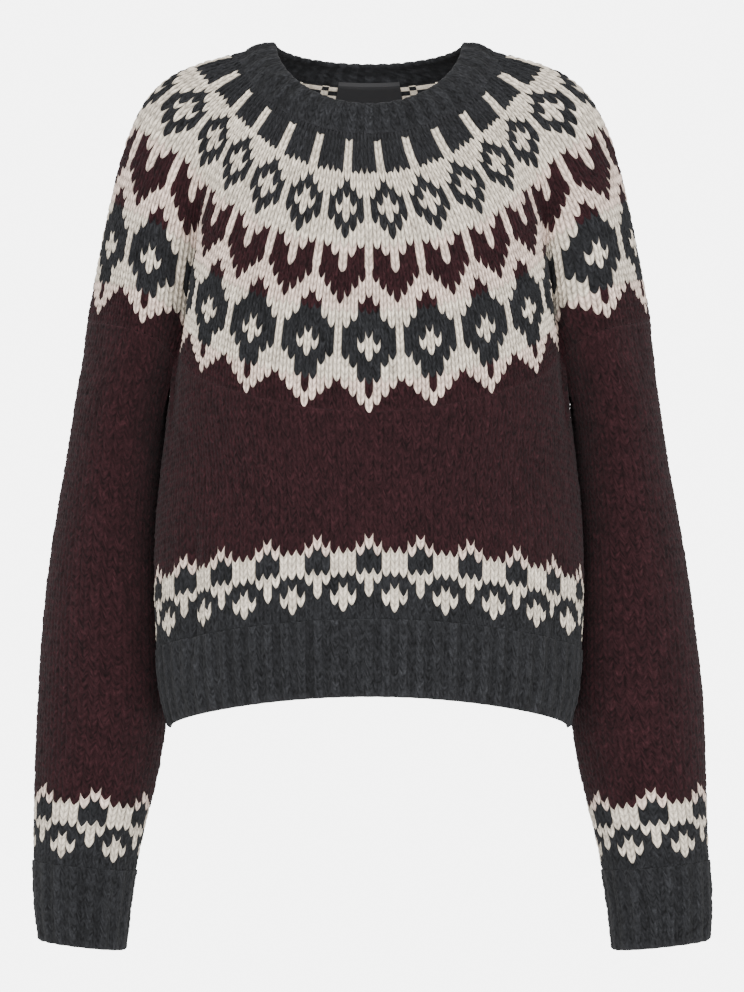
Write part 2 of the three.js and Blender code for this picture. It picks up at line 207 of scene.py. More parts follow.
# Bottom edge of the yoke, and how the cloth leaves the neck and arrives there.
YOKE_STATIONS = Table(
    columns=("place", "x", "y", "z", "slope", "leave", "arrive", "lean"),
    rows=(
        (0, 0, -118, -291, 60, 85, 80, 0),
        (1, 52, -116.5, -286, 58, 82, 80, 0.02),
        (2, 99, -104.5, -276, 54, 78, 82, 0.04),
        (3, 136, -76, -263, 48, 75, 86, 0.06),
        (3.75, 152, -47, -252, 43, 76, 92, 0.07),
        (4.25, 157.5, -18, -246, 40, 77, 97, 0.08),
        (4.75, 174, -38, -230, 37, 79, 104, 0.09),
        (5.25, 197, -40, -221, 31, 82, 124, 0.12),
        (6, 223, -12, -216, 17, 89, 178, 0.17),
        (6.5, 231.5, 16, -214, 12.5, 92, 192, 0.185),
        (7, 226, 43, -215, 16, 90, 180, 0.17),
        (7.75, 204, 72, -221, 30, 82, 122, 0.12),
        (8.25, 178, 73, -229, 36, 78, 104, 0.09),
        (8.75, 160, 48, -243, 40, 75, 97, 0.08),
        (9.25, 151, 70, -247, 43, 73, 92, 0.07),
        (10, 130, 95, -248, 47, 71, 86, 0.06),
        (11, 91, 112, -248, 50, 70, 82, 0.04),
        (12, 46, 118, -248, 52, 70, 80, 0.02),
        (13, 0, 119, -248, 52, 70, 80, 0),
    ),
)

# The fold under the arm bulges outwards by a quarter of this in its middle.
UNDERARM_BULGE = 6.0

# The body, counted in stitches from the centre front
QUARTER_STITCHES = 33
FOLD_STITCH = 29
BODY_SETTLE = 90.0
BODY_SECTIONS = Table(
    columns=("z", "half_width", "half_depth"),
    rows=(
        (-215, 158, 118),
        (-246, 160, 118),
        (-295, 165.5, 117),
        (-353, 172, 114.5),
        (-389, 175, 113),
        (-426, 175.5, 111.5),
        (-467, 174.5, 110),
        (-513, 171.5, 107),
        (-550, 163.5, 103),
    ),
)
BODY_CREASES = (
    Crease(centre=-22.4, width=1.3, start=365, rise=415, fall=455, end=500, depth=5),
    Crease(centre=24.5, width=1.6, start=385, rise=430, fall=460, end=505, depth=3.5),
)
HEM_SIDE_Z = -548.0
HEM_RISE = 29.0
HEM_RISE_POWER = 1.04
HEM_RIB = 63.0

# The sleeves. lean moves the outer edge out on the left sleeve and in on the right.
SLEEVE_STITCHES = 36
SLEEVE_UNITS = 48
UNDERARM_UNITS = 8
SLEEVE_SETTLE = 75.0
SLEEVE_SECTIONS = Table(
    columns=("z", "x", "y", "half_width", "half_depth", "lean"),
    rows=(
        (-205, 196, 16, 35.5, 57, 0.5),
        (-246, 199, 20, 36.5, 59, 1),
        (-279, 203.6, 28, 36.8, 61, 1.4),
        (-328, 208.6, 37, 39.6, 61, 1.6),
        (-377, 214.2, 43, 43.1, 60, 1.4),
        (-426, 218.1, 48, 47.1, 59, 0.8),
        (-476, 219.8, 52, 51.3, 57, 0),
        (-525, 221.2, 54, 54.2, 54, -1.2),
        (-574, 224.9, 53, 52.5, 51, -1),
        (-648, 234.2, 47, 44.7, 45, -1.5),
        (-697, 238.4, 42, 40.7, 39, -3.4),
        (-735, 238.7, 40, 36.8, 35, -4.5),
    ),
)
CUFF_Z = -728.5
CUFF_TILT = 4.0
CUFF_RIB = 66.0


def settle_weight(below: Array, length: float) -> Array:
    """How much of a top edge's shape is left at a distance below it: 1, easing to 0."""
    t = np.clip(below / length, 0, 1)
    return (1 - t) ** 2 * (1 + 2 * t)


def quarter_angle(along: Array, across: Array, share: Array) -> Array:
    """The angle at which a quarter of an ellipse has run a share of its length.

    The angles are worked out once for a range of flatnesses and shares, and read between.

    Args:
        along: half axis reached at a right angle.
        across: half axis at the start.
        share: share of the quarter's length, 0 to 1.

    Returns:
        Angles in radians.
    """
    flattest, roundest, kinds, steps, hair = 0.25, 4.0, 96, 64, 0.001
    ratios = np.linspace(flattest, roundest, kinds)
    angles = np.linspace(0, np.pi / 2, steps + 1)
    middle = (angles[1:] + angles[:-1]) / 2
    speed = np.hypot(np.cos(middle)[None] * ratios[:, None], np.sin(middle)[None])
    run = np.concatenate((np.zeros((kinds, 1)), np.cumsum(speed, axis=1)), axis=1)
    run /= run[:, -1:]
    shares = np.linspace(0, 1, steps + 1)
    found = np.array([np.interp(shares, row, angles) for row in run])
    row = np.clip((along / across - flattest) / (ratios[1] - ratios[0]), 0, kinds - 1 - hair)
    step = np.clip(share * steps, 0, steps - hair)
    row, step = np.broadcast_arrays(row, step)
    i, j = row.astype(int), step.astype(int)
    a, b = row - i, step - j
    low = found[i, j] * (1 - b) + found[i, j + 1] * b
    high = found[i + 1, j] * (1 - b) + found[i + 1, j + 1] * b
    return low * (1 - a) + high * a


def round_place(place: Array) -> Array:
    """Places beyond the centre back, counted from the other side."""
    return wrapped(place, 2 * HALF_ROUND)


def yoke_edge(place: Array) -> Array:
    """Bottom edge of the yoke at places on either side."""
    s = YOKE_STATIONS.at(np.abs(place))
    return points(handed(place) * s["x"], s["y"], s["z"])


def yoke_surface(place: Array, down: Array) -> Array:
    """Outside of the yoke.

    Each meridian is a cubic curve from the neckline to the bottom edge, measured by its
    length: it leaves the neck at the station's slope and arrives along its lean.

    Args:
        place: places, shape (columns,) or (lines, columns).
        down: shares of the meridians' length, shape (lines, columns).

    Returns:
        Points, shape (lines, columns, 3).
    """
    place = round_place(place)
    s = YOKE_STATIONS.at(np.abs(place))
    slope = np.radians(s["slope"])
    out = heading(place)
    leaving = out * np.cos(slope)[..., None]
    leaving[..., 2] = -np.sin(slope)
    arriving = out * -s["lean"][..., None]
    arriving[..., 2] = 1
    start = YOKE_NECK.at(place)
    end = yoke_edge(place)
    corners = (
        start,
        start + leaving * s["leave"][..., None],
        end + arriving * s["arrive"][..., None],
        end,
    )

    def curve(t: Array) -> Array:
        """Points of the cubic curves at t.

        Args:
            t: shares of the curves' own measure.

        Returns:
            Points, with one more axis than t.
        """
        t = t[..., None]
        weights = ((1 - t) ** 3, 3 * t * (1 - t) ** 2, 3 * t**2 * (1 - t), t**3)
        return sum(w * corner for w, corner in zip(weights, corners))

    steps = np.linspace(0, 1, MERIDIAN_SAMPLES + 1)
    t = steps.reshape((-1,) + (1,) * place.ndim) * np.ones(place.shape)
    pieces = np.linalg.norm(np.diff(curve(t), axis=0), axis=-1)
    run = np.concatenate((np.zeros((1,) + place.shape), np.cumsum(pieces, axis=0)))
    run = np.broadcast_to(run.reshape(len(run), -1, place.shape[-1]), (len(run),) + down.shape)
    wanted = np.clip(down, 0, 1) * run[-1]
    i = np.clip((run <= wanted).sum(axis=0) - 1, 0, MERIDIAN_SAMPLES - 1)[None]
    before = np.take_along_axis(run, i, axis=0)[0]
    after = np.take_along_axis(run, i + 1, axis=0)[0]
    return curve((i[0] + (wanted - before) / (after - before)) / MERIDIAN_SAMPLES)


def underarm(share: Array) -> Array:
    """The fold under the arm, from the front fold (0) to the back fold (1).

    Args:
        share: places along the fold.

    Returns:
        Points, with one more axis than share.
    """
    front, back = yoke_edge(np.array([FRONT_FOLD, BACK_FOLD]))
    fold = front + (back - front) * share[..., None]
    fold[..., 0] += UNDERARM_BULGE * share * (1 - share)
    return fold


UNDERARM_X = float(underarm(np.array(0.5))[0])


def body_top(stitch: Array) -> Array:
    """Top edge of the body at stitches from the centre front, 0 to twice a quarter.

    Args:
        stitch: stitches.

    Returns:
        Points: on the yoke's edge, or beside the fold under the arm.
    """
    whole = 2 * QUARTER_STITCHES
    ahead = yoke_edge(FRONT_FOLD * stitch / FOLD_STITCH)
    behind = yoke_edge(HALF_ROUND - FRONT_FOLD * (whole - stitch) / FOLD_STITCH)
    beside = underarm((stitch - FOLD_STITCH) / (whole - 2 * FOLD_STITCH))
    beside[..., 0] = UNDERARM_X - EDGE_GAP
    front = (stitch <= FOLD_STITCH)[..., None]
    back = (stitch >= whole - FOLD_STITCH)[..., None]
    return np.where(front, ahead, np.where(back, behind, beside))


def body_oval(z: Array, stitch: Array) -> Array:
    """The body's own section at heights, at stitches from the centre front.

    Args:
        z: heights.
        stitch: stitches, 0 to twice a quarter.

    Returns:
        Points of half-ellipses, even stitches along their length.
    """
    s = BODY_SECTIONS.at(z)
    behind = stitch > QUARTER_STITCHES
    share = np.where(behind, 2 * QUARTER_STITCHES - stitch, stitch) / QUARTER_STITCHES
    angle = quarter_angle(s["half_width"], s["half_depth"], share)
    y = s["half_depth"] * np.cos(angle)
    return points(s["half_width"] * np.sin(angle), np.where(behind, y, -y), z)


def hem_z(stitch: Array) -> Array:
    """Height of the hem's edge."""
    ahead = np.abs(np.cos(np.pi * stitch / 2 / QUARTER_STITCHES))
    return HEM_SIDE_Z + HEM_RISE * ahead**HEM_RISE_POWER


def body_surface(stitch: Array, z: Array) -> Array:
    """Outside of the body: it leaves the yoke's edge and takes its own section below.

    Args:
        stitch: stitches from the centre front, negative on the left, shape (columns,).
        z: heights, shape (lines, columns).

    Returns:
        Points, shape (lines, columns, 3).
    """
    stitch = wrapped(stitch, 4 * QUARTER_STITCHES)
    drawn = sum(crease.at(stitch, -z) for crease in BODY_CREASES)
    side = handed(stitch)
    stitch = np.abs(stitch)
    top = body_top(stitch)
    weight = settle_weight(top[:, 2] - z, BODY_SETTLE)
    point = body_oval(z, stitch) + (top - body_oval(top[:, 2], stitch)) * weight[..., None]
    inward = 1 - drawn / BODY_SECTIONS.rows[0][1]
    return points(side * point[..., 0] * inward, point[..., 1] * inward, z)


def sleeve_top(unit: Array) -> Array:
    """Top edge of the right sleeve at units round it, from the underarm by the front.

    Args:
        unit: units.

    Returns:
        Points: beside the fold under the arm, and then on the yoke's edge.
    """
    half = UNDERARM_UNITS / 2
    on_yoke = SLEEVE_UNITS - UNDERARM_UNITS
    first = 0.5 - unit / half / 2
    last = 0.5 + (SLEEVE_UNITS - unit) / half / 2
    under = underarm(np.where(unit < half, first, last))
    under[..., 0] = UNDERARM_X + EDGE_GAP
    above = yoke_edge(FRONT_FOLD + (BACK_FOLD - FRONT_FOLD) * (unit - half) / on_yoke)
    inside = ((unit < half) | (unit > SLEEVE_UNITS - half))[..., None]
    return np.where(inside, under, above)


def sleeve_oval(z: Array, unit: Array, side: int) -> Array:
    """The sleeve's own section at heights, laid out on the right side.

    Args:
        z: heights.
        unit: units round it, from its inner side by the front.
        side: 1 for the right sleeve and -1 for the left, which lean apart.

    Returns:
        Points of ellipses, even units along each quarter.
    """
    s = SLEEVE_SECTIONS.at(z)
    outward = -side * s["lean"] * 0.5
    turn = unit / (SLEEVE_UNITS / 4)
    whole = np.minimum(np.floor(turn), 3)
    share = np.where(whole % 2 == 1, 1 - (turn - whole), turn - whole)
    width = s["half_width"] + outward
    angle = quarter_angle(s["half_depth"], width, share)
    x = width * np.cos(angle) * np.where((whole == 0) | (whole == 3), -1, 1)
    y = s["half_depth"] * np.sin(angle) * np.where(whole < 2, -1, 1)
    return points(s["x"] + outward + x, s["y"] + y, z)


def sleeve_surface(unit: Array, z: Array, side: int) -> Array:
    """Outside of a sleeve.

    Args:
        unit: units round the sleeve, shape (columns,).
        z: heights, shape (lines, columns).
        side: 1 for the right sleeve and -1 for the left.

    Returns:
        Points, shape (lines, columns, 3).
    """
    unit = unit % SLEEVE_UNITS
    top = sleeve_top(unit)
    weight = settle_weight(top[:, 2] - z, SLEEVE_SETTLE)
    shift = top - sleeve_oval(top[:, 2], unit, side)
    point = sleeve_oval(z, unit, side) + shift * weight[..., None]
    return points(side * point[..., 0], point[..., 1], z)


def cuff_z(unit: Array) -> Array:
    """Height of the cuff's edge: it tilts down towards the body."""
    return CUFF_Z - CUFF_TILT * np.cos(2 * np.pi * unit / SLEEVE_UNITS)


def neck_surface(place: Array, down: Array) -> Array:
    """Outside of the neck band between its two edges, bowed a little outwards.

    Past its foot, at 1, it runs on down the yoke.

    Args:
        place: places round the yoke.
        down: shares of the band's height, 0 at its top.

    Returns:
        Points, shape (lines, columns, 3).
    """
    place = round_place(place)
    top = NECK_EDGE.at(place)
    foot = YOKE_NECK.at(place)
    out = (heading(place) + (0, 0, 1)) / math.sqrt(2)
    share = np.clip(down, 0, 1)[..., None]
    band = top + (foot - top) * share + out * (4 * share * (1 - share) * NECK_ROLL)
    past = np.clip(down - 1, 0, 1) * NECK_LAP_SHARE * np.ones(np.shape(place))
    return band + yoke_surface(place, past) - foot


class Yarn(Enum):
    """The three yarns, by their letter in the charts."""

    CREAM = "W"
    CHARCOAL = "C"
    BURGUNDY = "M"


# One line for a round, from the neck down. A line runs over one repeat from its middle
# stitch, so the first letter is the point of the large diamond and of the zigzags.
YOKE_CHART = tuple("""
CCCC
CCCC
CCWC
CCWC
CCWC
CCWC
WWWWWW
WWWCWW
WWCCCW
WCCWCC
WCWWWC
WCCWCC
WWCCCW
WWWCWW
WWWWWW
WMWWWM
WMMWMM
WMMWMM
WMMMMMMM
WWMMMMMW
WWWMMMWW
MWWWMWWW
MMWWWWWM
CCWWWWWC
CCCWWWCC
CCCCWCCC
WCCCWCCC
WWCCWCCW
WCCCWCCC
CCCWWWCC
CCWWWWWC
CCWWWWWC
MWWWMWWW
MWWMMMWW
WWMMMMMW
WMMMMMMM
MMMMMMMM
MMMMMMMM
""".split())

# The chart's first line is round YOKE_FIRST_ROW. The neckline cuts the yoke in front at
# YOKE_FIRST_TIP, and the bottom edge lies near YOKE_LAST_TIP.
YOKE_FIRST_ROW = -6
YOKE_FIRST_TIP = -6.45
YOKE_LAST_TIP = 29

# Stitches in the yoke's widest repeat and in the band's
REPEAT_STITCHES = 8
BAND_REPEAT = 6

# Lines above these rounds have 4 and 6 stitches to a repeat, and the lines below have 8.
FOUR_ABOVE = -1.01
SIX_ABOVE = 11.01

# How far down a meridian the rounds lie: they are stretched a little more near the neck.
YOKE_ROUNDS = Table(
    columns=("tip", "share"),
    rows=(
        (-6.45, 0),
        (-5, 0.048),
        (0, 0.208),
        (5, 0.356),
        (11, 0.533),
        (14, 0.6125),
        (18, 0.72),
        (22, 0.827),
        (25, 0.9025),
        (28, 0.976),
        (29, 1),
        (31.5, 1.0615),
    ),
)

# On the shoulders the rounds ride up: by how much, and how much of that at each share.
YOKE_LIFT = Table(
    columns=("place", "lift"),
    rows=(
        (0, 0),
        (2, 0.008),
        (3.5, 0.045),
        (4.8, 0.058),
        (5.6, 0.05),
        (6.6, 0.022),
        (8, 0),
        (13, 0),
    ),
)
LIFT_BY_SHARE = Table(
    columns=("share", "part"), rows=((0, 0), (0.3, 1), (0.75, 0.5), (1, 0.6), (1.1, 0.6))
)

# At the centre back the neckline starts this many rounds lower, between these places.
BACK_START = 1.9
BACK_START_FROM = 7.5
BACK_START_FULL = 11.0

# The rays' tops are blunt: how much of the stitches' points is left there, and the rounds
# over which the rest comes back
RAY_TOP = 0.25
RAY_TOP_FROM = -4.7
RAY_TOP_FULL = -3.0

# The rays lean near the neck, and the right shoulder lies a little further round.
RAY_LEAN = Crease(centre=2.2, width=2.4, start=-0.5, rise=0, fall=0.02, end=0.42, depth=0.4)
SHOULDER_TURN = Crease(centre=5.6, width=1.1, start=0.4, rise=0.7, fall=2, end=3, depth=0.3)
ARMHOLE_CREASES = (
    Crease(centre=-4.3, width=0.3, start=0.36, rise=0.66, fall=0.86, end=1, depth=9),
    Crease(centre=4.45, width=0.3, start=0.4, rise=0.66, fall=0.86, end=1, depth=9),
)

# The band over the hem and over each cuff, from its top down
BAND_CHART = tuple("""
WMMMMM
CWMMMW
CCWWWC
CCWWWC
CCWWWC
WWCCCW
WCCCCC
WCCWCC
CCWWWC
CCCWCC
CCCCCC
CCCCCC
""".split())


@dataclass(frozen=True)
class Relief:
    """How knitted stitches stand out of the cloth, in millimetres.

    A stitch is two plump legs that meet at its lower middle. heights are given along a
    leg, from the middle of the stitch to its border, and tube across the leg, from the
    upper line of the round to the next. bow is the power by which a round rises from the
    middle of a stitch to its borders: blunt below and pointed above. level is the height
    that lies in the surface itself, and purl how far the stitches' backs stand out inside.
    ripple is how far the rounds wander, in rounds, and swell how far the surface does.
    """

    depth: float = 1.5
    heights: tuple[float, ...] = (0.05, 1.0, 0.95, 0.0)
    tube: tuple[float, ...] = (0.0, 0.95, 1.0)
    tube_share: float = 0.7
    bow: float = 1.9
    level: float = 0.55
    purl: float = 0.45
    ripple: float = 0.07
    swell: float = 0.22

    def outside(self, across: Array, along: Array) -> Array:
        """How high the stitches stand, 0 in the crevices to 1 on the legs.

        Args:
            across: place in the stitch from its middle, -0.5 to 0.5.
            along: place in the round, 0 at its upper line to 1 at its lower.

        Returns:
            Shares of the depth.
        """
        stops = np.linspace(0, 0.5, len(self.heights))
        leg = np.interp(np.abs(across), stops, self.heights)
        places = np.linspace(0, 1, len(self.tube) + 1)
        tube = np.interp(along % 1, places, self.tube + self.tube[:1])
        return leg * (1 - self.tube_share + self.tube_share * tube)


def wander(shape: tuple[int, int], seed: int) -> Array:
    """Even random swells over a grid, about 1 high, the width of half a stitch.

    Each value is the mean of the random numbers round it, scaled back up.

    Args:
        shape: lines and columns.
        seed: starts the random numbers.

    Returns:
        The swells.
    """
    raw = np.random.default_rng(seed).standard_normal(shape)
    for axis, reach in ((0, 1), (1, 2)):
        raw = sum(np.roll(raw, k, axis=axis) for k in range(-reach, reach + 1))
    return raw / raw.std()


PLAIN_RELIEF = Relief(depth=1.1, heights=(0.3, 1.0, 0.95, 0.1), bow=1.5)
RIB_RELIEF = Relief(depth=0.6, heights=(0.4, 1.0, 0.95, 0.2))

# Lines to a round and columns to a stitch, outside and inside
KNIT_LINES = 3
KNIT_COLUMNS = 6
INSIDE_LINES = 2
INSIDE_COLUMNS = 2
INSIDE_SKIP = KNIT_COLUMNS // INSIDE_COLUMNS

# Lines closer than COLLAPSED, in rounds, are one line. The relief fades over CUT_FADE
# rounds at a cut edge, and a lapped foot thins to LAP_THICKNESS of the wall. A colour over
# LIGHT_YARN is a light yarn's. Directions are worked out on NORMAL_LINES, and the smooth
# surface is laid out on CUT_LINES.
COLLAPSED = 0.02
CUT_FADE = 0.45
LAP_THICKNESS = 0.1
LIGHT_YARN = 0.3
NORMAL_LINES = 48
CUT_LINES = 24

# Each piece's random numbers start from its own seed.
SEEDS = {
    "yoke_front": 16, "yoke_back": 15, "body_front": 22, "body_back": 21,
    "sleeve_left": 22, "sleeve_right": 24, "hem_rib": 31, "cuff_left": 36,
    "cuff_right": 38, "neck_rib": 41,
}


def unit_normals(grid: Array, closed: bool) -> Array:
    """Outward directions on a grid of points whose columns run round and lines run down.

    Args:
        grid: points, shape (lines, columns, 3).
        closed: whether the last column meets the first.

    Returns:
        Unit vectors, of the same shape.
    """
    if closed:
        around = np.roll(grid, -1, axis=1) - np.roll(grid, 1, axis=1)
    else:
        around = np.gradient(grid, axis=1)
    down = np.gradient(grid, axis=0)
    normal = np.cross(down, around)
    length = np.linalg.norm(normal, axis=-1, keepdims=True)
    return normal / np.maximum(length, TINY)


def cells(grid: Array) -> Array:
    """The four corners of each face of a grid: up, down, down and up on the right."""
    stack = (grid[:-1, :-1], grid[1:, :-1], grid[1:, 1:], grid[:-1, 1:])
    return np.stack(stack, axis=-1).reshape(-1, 4)


def inside_lines(tips: Array) -> Array:
    """The lines of the inside, over the same rounds as the outside's."""
    rounds = (len(tips) - 1) // KNIT_LINES
    return tips[0] + np.arange(rounds * INSIDE_LINES + 1) / INSIDE_LINES


def with_floats(own: Array, behind: Array) -> Array:
    """Colours inside: in each round the stitches' backs, and below them the floats."""
    floats = (np.arange(len(own)) % INSIDE_LINES == 1)[:, None, None]
    return np.where(floats, behind, own)


def add_object(name: str, data: bpy.types.ID) -> bpy.types.Object:
    """Put a new object into the scene.

    Args:
        name: its name.
        data: its mesh, light or camera.

    Returns:
        The object, at the origin.
    """
    made = bpy.data.objects.new(name, data)
    bpy.context.scene.collection.objects.link(made)
    return made


class ClothMesh:
    """Collects the faces of a knitted wall and makes one closed mesh of them."""

    def __init__(self, name: str, turned: bool, closed: bool) -> None:
        """Start an empty mesh.

        Args:
            name: name of the object.
            turned: whether the columns run the other way round, so that faces are flipped.
            closed: whether the last column meets the first.
        """
        self.name = name
        self.turned = turned
        self.closed = closed
        self.vertices: list[Array] = []
        self.faces: list[tuple[Array, Array, Array]] = []
        self.smooth: list[Array] = []
        self.count = 0

    def add_side(
        self,
        at: Array,
        line: Array,
        column: Array,
        colour: Array,
        shade: tuple[Array, Array],
        inside: bool,
    ) -> Array:
        """Add one side of the wall.

        Points of a column that lie on one spot become one vertex, so a round that runs
        out against an edge ends in triangles.

        Args:
            at: points, shape (lines, columns, 3).
            line: the points' rounds, shape (lines, columns).
            column: the columns' stitches, shape (columns + 1,), one more than the points
                where the last column meets the first.
            colour: colours of the faces, shape (lines - 1, columns, 3).
            shade: factors at the points of a dark and of a light yarn's colour, each of
            shape (lines, columns): painted shade in the crevices and a random speckle.
            inside: whether this is the side that faces into the garment.

        Returns:
            Vertex numbers, shape (lines, columns), with the first column again at the end
            of a closed round.
        """
        fresh = np.ones(line.shape, dtype=bool)
        fresh[1:] = np.diff(line, axis=0) > COLLAPSED
        sizes = fresh.sum(axis=0)
        base = self.count + np.concatenate(([0], np.cumsum(sizes)[:-1]))
        number = base[None] + np.cumsum(fresh, axis=0) - 1
        self.vertices.append(at.transpose(1, 0, 2)[fresh.T])
        self.count += int(sizes.sum())
        if self.closed:
            number = np.concatenate((number, number[:, :1]), axis=1)
            line = np.concatenate((line, line[:, :1]), axis=1)
            shade = tuple(np.concatenate((one, one[:, :1]), axis=1) for one in shade)
        wide = np.broadcast_to(column, line.shape)
        corner, rounds, stitches = cells(number), cells(line), cells(wide)
        colour = colour[:, : number.shape[1] - 1].reshape(-1, 3)
        # Each corner takes its yarn's factor: painted shade in the crevices and a random speckle.
        light = (colour.max(axis=-1) > LIGHT_YARN)[:, None]
        shades = np.where(light, cells(shade[1]), cells(shade[0]))[..., None]
        first = corner[:, 0] == corner[:, 1]
        second = corner[:, 2] == corner[:, 3]
        kinds = (
            (~first & ~second, [0, 1, 2, 3]),
            (first & ~second, [0, 2, 3]),
            (~first & second, [0, 1, 2]),
        )
        for keep, picks in kinds:
            uv = np.stack((stitches[keep][:, picks], rounds[keep][:, picks]), axis=-1)
            paint = colour[keep][:, None] * shades[keep][:, picks]
            self._add(corner[keep][:, picks], uv, paint, True, inside)
        return number

    def _add(self, corners: Array, uv: Array, colour: Array, smooth: bool, flip: bool) -> None:
        """Add faces of one size, turned over where flip or the mesh's own turn asks.

        Args:
            corners: vertex numbers, shape (faces, corners).
            uv: stitch coordinates, shape (faces, corners, 2).
            colour: colours, shape (faces, corners, 3).
            smooth: whether they are shaded smooth.
            flip: whether the side asks for it.
        """
        if flip != self.turned:
            corners, uv, colour = corners[:, ::-1], uv[:, ::-1], colour[:, ::-1]
        self.faces.append((corners, uv, colour))
        self.smooth.append(np.full(len(corners), smooth))

    def add_rim(self, outer: Array, inner: Array, colour: Array, smooth: bool, low: bool) -> None:
        """Close the wall along an edge.

        Args:
            outer: vertex numbers along the edge outside.
            inner: vertex numbers along the edge inside.
            colour: colours along the edge inside.
            smooth: whether the edge is rounded.
            low: whether it is the lower edge.
        """
        each = (len(outer) - 1) // (len(inner) - 1)
        start = np.arange(len(inner) - 1)
        ring = [outer[start * each + k] for k in range(each + 1)]
        ring += [inner[start + 1], inner[start]]
        corners = np.stack(ring, axis=-1)
        paint = colour[: len(corners), None] * np.ones((1, each + 3, 1))
        self._add(corners, np.zeros(corners.shape + (2,)), paint, smooth, low)

    def add_cap(self, outer: Array, inner: Array, colour: Array, last: bool) -> None:
        """Close the wall along a cut side with one face through all of its points.

        Args:
            outer: vertex numbers down the side outside.
            inner: vertex numbers down it inside.
            colour: the face's colour.
            last: whether it is the side of the last column.
        """
        ring = np.concatenate((outer, inner[::-1]))
        corners = ring[ring != np.roll(ring, 1)][None]
        paint = colour * np.ones(corners.shape + (1,))
        self._add(corners, np.zeros(corners.shape + (2,)), paint, False, last)

    def build(self) -> bpy.types.Object:
        """Make the object, with its colours and stitch coordinates.

        Returns:
            The object.
        """
        mesh = bpy.data.meshes.new(self.name)
        vertices = np.concatenate(self.vertices) * MM
        sizes = np.concatenate([np.full(len(c), c.shape[1]) for c, _, _ in self.faces])
        corners = np.concatenate([c.ravel() for c, _, _ in self.faces])
        uv = np.concatenate([u.reshape(-1, 2) for _, u, _ in self.faces])
        rgba = np.ones((len(corners), 4))
        rgba[:, :3] = np.concatenate([k.reshape(-1, 3) for _, _, k in self.faces])
        mesh.vertices.add(len(vertices))
        mesh.vertices.foreach_set("co", vertices.ravel())
        mesh.loops.add(len(corners))
        mesh.loops.foreach_set("vertex_index", corners)
        mesh.polygons.add(len(sizes))
        mesh.polygons.foreach_set("loop_start", np.concatenate(([0], np.cumsum(sizes)[:-1])))
        mesh.polygons.foreach_set("use_smooth", np.concatenate(self.smooth))
        mesh.update(calc_edges=True)
        layer = mesh.attributes.new("yarn", "FLOAT_COLOR", "CORNER")
        layer.data.foreach_set("color", rgba.ravel())
        mesh.uv_layers.new(name="stitch")
        mesh.uv_layers["stitch"].data.foreach_set("uv", uv.ravel())
        mesh.validate()
        return add_object(self.name, mesh)


